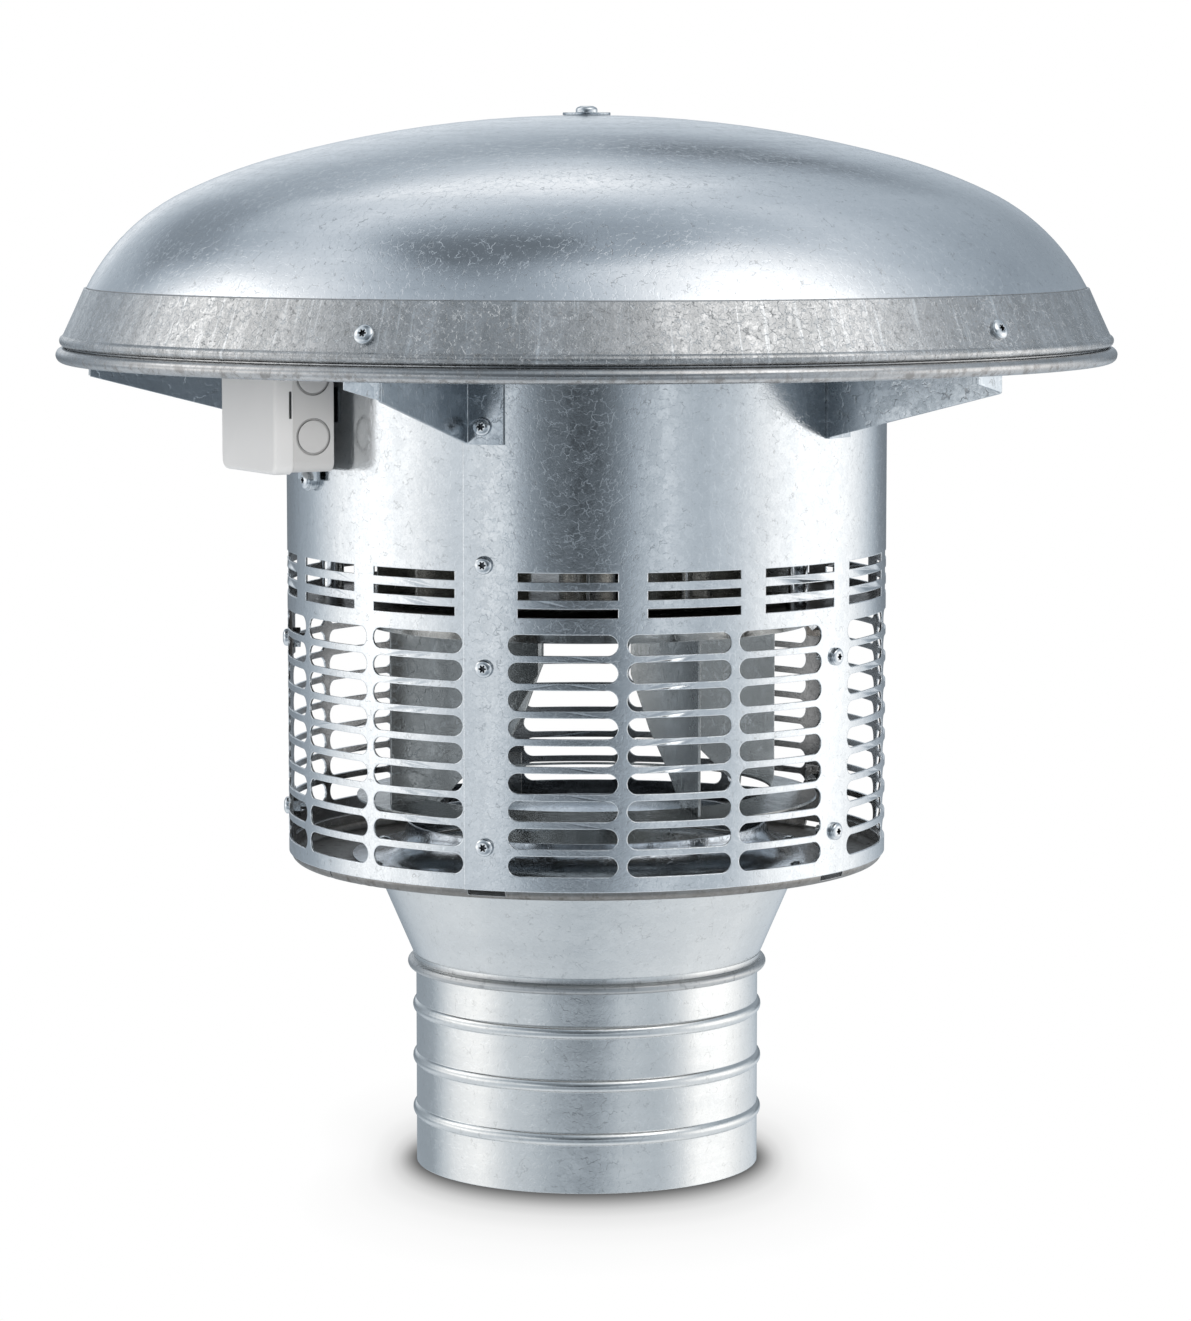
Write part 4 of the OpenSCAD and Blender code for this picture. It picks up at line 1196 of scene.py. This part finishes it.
@dataclass
class JunctionBox:
    """The plastic box on the cage, its strap and screws. Sizes are in mm."""

    turn: float = -62.2
    middle_z: float = 358.6
    lid_back_r: float = 162.0
    lid_depth: float = 9.0
    width: float = 60.0
    corner_r: float = 5.0
    edge_r: float = 1.9
    wall: float = 2.0
    slot_size: tuple[float, float, float] = (1.2, 2.4, 12.0)
    strap_r: float = 142.0
    strap_screw_heights: tuple[float, float] = (324.1, 393.6)
    inner_screw_side: float = 12.0
    corner_steps: int = 8

    def outline(self, size: float, corner: float, x: float) -> list[Point]:
        """Gives a square with round corners.

        Args:
            size: Width and height in mm.
            corner: Corner radius in mm.
            x: Distance outwards in mm.

        Returns:
            Points in metres.
        """
        points = []
        half = size / 2 - corner
        for quarter in range(4):
            start = quarter * math.pi / 2
            side_y = math.cos(start + math.pi / 4)
            side_z = math.sin(start + math.pi / 4)
            for step in range(self.corner_steps + 1):
                angle = start + step * math.pi / 2 / self.corner_steps
                y = math.copysign(half, side_y) + corner * math.cos(angle)
                z = math.copysign(half, side_z) + corner * math.sin(angle)
                points.append((x * MM, y * MM, z * MM))
        return points

    def lid_shell(self, place: Matrix) -> Shell:
        """Builds the lid's hollow shell with its soft front edge."""
        shell = Shell()
        steps = 6
        inner = self.width - 2 * self.wall
        inner_corner = self.corner_r - self.wall
        face = self.lid_depth - self.wall
        loops = [self.outline(inner, inner_corner, face), self.outline(inner, inner_corner, 0.0)]
        loops.append(self.outline(self.width - 0.5, self.corner_r - 0.25, 0.0))
        loops.append(self.outline(self.width, self.corner_r, 0.25))
        for step in range(steps + 1):
            angle = 0.5 * math.pi * step / steps
            inset = self.edge_r * (1 - math.cos(angle))
            x = self.lid_depth - self.edge_r + self.edge_r * math.sin(angle)
            loops.append(self.outline(self.width - 2 * inset, self.corner_r - inset, x))
        first = shell.loop(loops[0], place)
        shell.cap(first, (face * MM, 0.0, 0.0), place)
        last = first
        for points in loops[1:]:
            following = shell.loop(points, place)
            shell.bridge(last, following)
            last = following
        shell.cap(last, (self.lid_depth * MM, 0.0, 0.0), place)
        return shell

    def cut_slots(self, lid: bpy.types.Object, place: Matrix, shade: bpy.types.Material) -> None:
        """Cuts the lever slots into both sides of the lid.

        Args:
            lid: The lid.
            place: The lid's own place.
            shade: The material of the cut faces.
        """
        shell = Shell()
        depth, reach, tall = self.slot_size
        for side in (-1, 1):
            corners = [
                (side * self.width / 2 + y * reach / 2, z * tall / 2 + 1.0)
                for y, z in ((-1, -1), (1, -1), (1, 1), (-1, 1))
            ]
            ends = []
            for x in (1.4 - depth / 2, 1.4 + depth / 2):
                ends.append(shell.loop([(x * MM, y * MM, z * MM) for y, z in corners], place))
            shell.bridge(ends[0], ends[1])
            for end, x in zip(ends, (1.4 - depth / 2, 1.4 + depth / 2)):
                shell.cap(end, (x * MM, side * self.width / 2 * MM, 1.0 * MM), place)
        cutter = shell.piece("lid_slot_cutter", shade, 30.0)
        cut = lid.modifiers.new("slots", "BOOLEAN")
        cut.operation = "DIFFERENCE"
        cut.solver = "EXACT"
        cut.material_mode = "TRANSFER"
        cut.object = cutter
        bpy.context.view_layer.update()
        seen = lid.evaluated_get(bpy.context.evaluated_depsgraph_get())
        mesh = bpy.data.meshes.new_from_object(seen)
        lid.modifiers.remove(cut)
        lid.data = mesh
        mesh.set_sharp_from_angle(angle=math.radians(40.0))
        bpy.data.objects.remove(cutter)

    def lid(self, wardrobe: Wardrobe) -> None:
        """Builds the lid in place of its plain solid."""
        place = turned(self.turn, self.lid_back_r, self.middle_z)
        finish = wardrobe.material(LID_PLASTIC)
        piece = self.lid_shell(place).piece("box_lid_shell", finish, 40.0)
        self.cut_slots(piece, place, wardrobe.material(SLOT_SHADE))
        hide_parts("box_lid")
        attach(piece, "housing")

    def screws(self, wardrobe: Wardrobe) -> None:
        """Builds the strap's and the box's screws in place of their plain solids."""
        shell = Shell()
        for height in self.strap_screw_heights:
            StarScrew(length=8.0).add_to(shell, turned(self.turn, self.strap_r, height))
        small = StarScrew(length=3.8, head_r=3.6, head_h=2.2, recess_r=1.7)
        place = turned(self.turn, self.strap_r + self.wall, self.middle_z)
        for side in (-1, 1):
            aside = Matrix.Translation((0.0, side * self.inner_screw_side * MM, 0.0))
            small.add_to(shell, place @ aside)
        piece = shell.piece(
            "box_star_screws", wardrobe.material(SCREW), 38.0, wardrobe.material(RECESS)
        )
        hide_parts("box_screws")
        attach(piece, "housing")

    def build(self, wardrobe: Wardrobe) -> None:
        """Builds and dresses the box."""
        self.lid(wardrobe)
        self.screws(wardrobe)
        wardrobe.dress(BASE_PLASTIC, "box_base")
        wardrobe.dress(LID_PLASTIC, "terminal_block")
        wardrobe.dress(SCREW, "box_bracket")


@dataclass
class Motor:
    """The motor, its plate and posts."""

    cast: tuple[str, ...] = ("motor_case", "lower_end_shield", "upper_end_shield")
    plated: tuple[str, ...] = (
        "motor_posts", "post_screws", "motor_bolts", "motor_nuts", "lower_bearing",
        "upper_bearing", "shaft",
    )

    def build(self, wardrobe: Wardrobe) -> None:
        """Dresses the motor."""
        wardrobe.dress(CASTING, *self.cast)
        wardrobe.dress(SCREW, *self.plated)
        wardrobe.dress(INNER_SHEET, "motor_plate")
        wardrobe.dress(CORE, "stator_core", "rotor_core")
        wardrobe.dress(WINDING, "stator_windings")


@dataclass
class Impeller:
    """The impeller and the cooling wheel above it."""

    blades: int = 4

    def build(self, wardrobe: Wardrobe) -> None:
        """Dresses the impeller."""
        wardrobe.dress(IMPELLER, "impeller_backplate", "front_ring")
        wardrobe.dress(IMPELLER, *(f"blade_{i + 1}" for i in range(self.blades)))
        wardrobe.dress(CASTING, "impeller_hub")
        wardrobe.dress(SCREW, "hub_bolt", "hub_washer")
        wardrobe.dress(WHEEL, "cooling_wheel")


@dataclass(frozen=True)
class Band:
    """The studio's light at one elevation, by the direction round the object in degrees."""

    elevation: float
    levels: tuple[tuple[float, float], ...]

    def stops(self) -> list[tuple[float, float]]:
        """Gives the levels at places from 0 to 1."""
        return [(direction / 360 + 0.5, level) for direction, level in self.levels]


@dataclass
class Studio:
    """The white surroundings, soft lamps, floor and camera. Sizes are in metres."""

    bands: tuple[Band, ...] = (
        Band(-60.0, (
            (-180, 0.78), (-120, 1.0), (-60, 1.0), (-25, 0.87), (0, 0.83), (25, 0.91), (60, 1.08),
            (120, 1.1), (180, 0.78),
        )),
        Band(-42.0, (
            (-180, 0.72), (-120, 0.94), (-85, 0.98), (-50, 0.68), (0, 0.3), (50, 0.68), (85, 1.05),
            (120, 1.06), (180, 0.72),
        )),
        Band(-26.0, (
            (-180, 0.6), (-120, 0.95), (-80, 1.0), (-25, 0.5), (0, 0.4), (25, 0.5), (80, 1.1),
            (120, 1.05), (180, 0.6),
        )),
        Band(-13.0, (
            (-180, 0.4), (-152, 0.45), (-127, 0.48), (-100, 1.1), (-76, 1.35), (-53, 0.9),
            (-29, 0.66), (-10, 0.62), (4, 0.56), (23, 0.8), (38, 0.78), (52, 0.76), (66, 1.0),
            (81, 1.5), (105, 1.5), (130, 1.1), (152, 0.9), (180, 0.4),
        )),
        Band(-4.0, (
            (-180, 0.2), (-154, 0.3), (-130, 0.6), (-107, 1.35), (-88, 1.8), (-70, 1.45),
            (-57, 1.1), (-49, 0.9), (-38, 1.2), (-29, 1.0), (-20, 0.3), (-8, 0.09), (4, 0.1),
            (14, 0.34), (22, 0.82), (30, 0.98), (43, 0.68), (59, 0.9), (79, 1.55), (101, 1.75),
            (120, 1.4), (133, 0.95), (150, 0.3), (180, 0.2),
        )),
        Band(8.0, (
            (-180, 0.85), (-165, 1.05), (-145, 0.45), (-130, 0.55), (-105, 1.2), (-75, 1.1),
            (-50, 1.0), (-22, 0.25), (0, 0.12), (18, 0.3), (41, 0.8), (62, 1.0), (95, 1.6),
            (120, 1.05), (145, 0.45), (165, 0.43), (176, 0.75), (180, 0.85),
        )),
        Band(17.0, (
            (-180, 0.75), (-170, 0.8), (-157, 0.62), (-147, 0.6), (-135, 0.52), (-110, 1.3),
            (-90, 1.1), (-60, 0.8), (-30, 0.3), (0, 0.22), (30, 0.4), (60, 0.9), (95, 1.0),
            (115, 0.7), (134, 0.48), (157, 0.42), (172, 0.58), (180, 0.75),
        )),
        Band(26.0, (
            (-180, 0.45), (-170, 0.55), (-155, 0.4), (-137, 0.34), (-120, 1.1), (-105, 2.6),
            (-85, 1.6), (-60, 0.55), (-30, 0.3), (0, 0.3), (40, 0.6), (75, 0.95), (95, 0.6),
            (115, 0.5), (135, 0.45), (150, 0.5), (162, 0.55), (173, 0.2), (177, 0.25), (180, 0.45),
        )),
        Band(35.0, (
            (-180, 0.85), (-166, 0.56), (-149, 0.38), (-130, 0.42), (-115, 1.1), (-100, 2.0),
            (-82, 1.6), (-60, 0.85), (-45, 0.55), (-20, 0.42), (0, 0.6), (25, 1.35), (50, 2.2),
            (75, 1.3), (95, 0.8), (116, 0.6), (137, 0.52), (155, 0.6), (166, 0.66), (176, 0.6),
            (180, 0.85),
        )),
        Band(45.0, (
            (-180, 1.3), (-165, 1.2), (-150, 0.78), (-129, 0.65), (-109, 0.98), (-90, 1.15),
            (-75, 1.05), (-60, 0.8), (-45, 0.68), (-20, 0.52), (0, 0.75), (15, 1.1), (30, 1.9),
            (55, 2.5), (85, 1.05), (110, 0.7), (146, 0.64), (165, 0.74), (175, 1.1), (180, 1.3),
        )),
        Band(57.0, (
            (-180, 0.9), (-146, 1.0), (-116, 0.88), (-95, 0.95), (-75, 0.75), (-56, 0.55),
            (-28, 0.5), (-8, 0.65), (10, 0.95), (30, 1.4), (55, 1.85), (80, 1.35), (103, 0.9),
            (125, 0.82), (150, 0.85), (180, 0.9),
        )),
        Band(70.0, (
            (-180, 0.6), (-153, 0.7), (-125, 0.5), (-102, 0.28), (-71, 0.22), (-43, 0.28),
            (-20, 0.56), (0, 0.88), (30, 1.2), (60, 1.35), (85, 1.15), (110, 0.78), (150, 0.65),
            (180, 0.6),
        )),
        Band(82.0, (
            (-180, 0.5), (-130, 0.35), (-95, 0.24), (-45, 0.24), (-10, 0.38), (30, 0.56),
            (97, 0.52), (150, 0.5), (180, 0.5),
        )),
    )
    shadow_tint: Colour = (0.80, 0.92, 1.04, 1.0)
    floor_r: float = 1.5
    foot_r: float = 0.08
    shadow_reach: float = 0.045
    shadow_stretch: float = 2.5
    shadow_fade: tuple[tuple[float, float], ...] = (
        (0.0, 0.14), (0.045, 0.25), (0.09, 0.37), (0.135, 0.5), (0.19, 0.65), (0.29, 0.81),
        (0.47, 0.92), (0.66, 0.965), (1.0, 1.0),
    )
    camera_at: Point = (0.0041, -2.126, 0.4659)
    camera_down: float = 0.1081
    focal_pixels: float = 4586.0
    picture_h: float = 1321.0

    def surroundings(self) -> None:
        """Builds the world: white to the camera, soft boxes and dark gaps to the object."""
        world = bpy.data.worlds.new("studio")
        bpy.context.scene.world = world
        world.use_nodes = True
        graph = Graph(world.node_tree)
        background = world.node_tree.nodes["Background"]
        way = graph.add("ShaderNodeTexCoord").outputs["Generated"]
        parts = graph.add("ShaderNodeSeparateXYZ")
        graph.feed(parts.inputs[0], way)
        behind = graph.math("MULTIPLY", parts.outputs[1], -1.0)
        turn = graph.math("ARCTAN2", parts.outputs[0], behind)
        place = graph.math("ADD", graph.math("DIVIDE", turn, 2 * math.pi), 0.5)
        level = graph.ramp(place, self.bands[0].stops())
        for lower, upper in zip(self.bands, self.bands[1:]):
            share = graph.span(
                parts.outputs[2],
                math.sin(math.radians(lower.elevation)),
                math.sin(math.radians(upper.elevation)),
            )
            level = graph.mix(share, level, graph.ramp(place, upper.stops()))
        bright = graph.add("ShaderNodeRGBToBW")
        graph.feed(bright.inputs[0], level)
        tint = graph.mix(
            graph.span(bright.outputs[0], 0.3, 1.5), self.shadow_tint, (1.0, 1.0, 1.0, 1.0)
        )
        light = graph.mix(1.0, level, tint, "MULTIPLY")
        seen = graph.add("ShaderNodeLightPath").outputs["Is Camera Ray"]
        graph.feed(background.inputs["Color"], graph.mix(seen, light, (1.0, 1.0, 1.0, 1.0)))

    def floor(self) -> None:
        """Builds the pale floor, with a painted soft shadow that is longer towards the camera."""
        shell = Shell()
        sides = 96
        ring = [
            (
                self.floor_r * math.cos(2 * math.pi * i / sides),
                self.floor_r * math.sin(2 * math.pi * i / sides),
                0.0,
            )
            for i in range(sides)
        ]
        loop = shell.loop(ring, Matrix.Translation((0.0, 0.0, -0.0003)))
        shell.cap(loop, (0.0, 0.0, 0.0), Matrix.Translation((0.0, 0.0, -0.0003)))
        material = bpy.data.materials.new("pale_floor")
        material.use_nodes = True
        graph = Graph(material.node_tree)
        material.node_tree.nodes.remove(material.node_tree.nodes["Principled BSDF"])
        end = material.node_tree.nodes["Material Output"]
        parts = graph.add("ShaderNodeSeparateXYZ")
        graph.feed(parts.inputs[0], graph.add("ShaderNodeTexCoord").outputs["Object"])
        level = graph.joined(parts.outputs[0], parts.outputs[1], 0.0)
        radius = graph.vector("LENGTH", level).outputs["Value"]
        along = graph.math("DIVIDE", parts.outputs[1], radius)
        along = graph.math("MULTIPLY", graph.math("MULTIPLY", along, along), self.shadow_stretch)
        away = graph.math("SUBTRACT", radius, self.foot_r)
        away = graph.math("DIVIDE", away, graph.math("ADD", along, 1.0))
        shade = graph.math("DIVIDE", away, self.shadow_reach, clamp=True)
        # Painted shadow: the floor's white glow to the camera darkens near the foot.
        glow = graph.add("ShaderNodeEmission")
        graph.feed(glow.inputs["Color"], graph.ramp(shade, self.shadow_fade))
        clear = graph.add("ShaderNodeBsdfTransparent")
        choice = graph.add("ShaderNodeMixShader")
        graph.feed(choice.inputs[0], graph.add("ShaderNodeLightPath").outputs["Is Camera Ray"])
        graph.feed(choice.inputs[1], clear.outputs[0])
        graph.feed(choice.inputs[2], glow.outputs[0])
        graph.feed(end.inputs["Surface"], choice.outputs[0])
        shell.piece("floor", material, 30.0)

    def lamp(self, name: str, at: Point, size: float, power: float) -> None:
        """Adds a soft lamp that looks at the fan and shows in no reflection.

        Args:
            name: Its name.
            at: Its place in metres.
            size: Its width in metres.
            power: Its power in watts.
        """
        data = bpy.data.lights.new(name, "AREA")
        data.shape = "DISK"
        data.size = size
        data.energy = power
        lamp = bpy.data.objects.new(name, data)
        lamp.visible_glossy = False
        lamp.location = at
        lamp.rotation_euler = (Vector((0.0, 0.0, 0.25)) - Vector(at)).to_track_quat("-Z", "Y").to_euler()
        bpy.context.scene.collection.objects.link(lamp)

    def camera(self) -> None:
        """Builds the camera at the photograph's viewing angle."""
        data = bpy.data.cameras.new("camera")
        data.sensor_fit = "AUTO"
        data.sensor_width = 36.0
        data.lens = self.focal_pixels / self.picture_h * data.sensor_width
        data.clip_start = 0.05
        camera = bpy.data.objects.new("camera", data)
        camera.location = self.camera_at
        camera.rotation_euler = (math.pi / 2 - self.camera_down, 0.0, 0.0)
        bpy.context.scene.collection.objects.link(camera)
        bpy.context.scene.camera = camera

    def build(self) -> None:
        """Builds the whole studio."""
        self.camera()
        self.surroundings()
        self.floor()
        self.lamp("front_lamp", (1.0, -2.3, 0.3), 0.9, 31.0)
        self.lamp("side_lamp", (-2.2, -0.8, 0.8), 1.2, 9.0)
        bpy.context.scene.view_settings.view_transform = "Standard"


def main() -> None:
    """Builds the fan's sub-assemblies in order, then the studio."""
    logging.basicConfig(level=logging.INFO, format="%(message)s")
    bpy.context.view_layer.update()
    wardrobe = Wardrobe()
    cage = Cage()
    for part in (FlueInlet(), cage, Dome(cage), JunctionBox(), Motor(), Impeller()):
        part.build(wardrobe)
        log.info("finished %s", type(part).__name__)
    Studio().build()


if __name__ == "__main__":
    main()
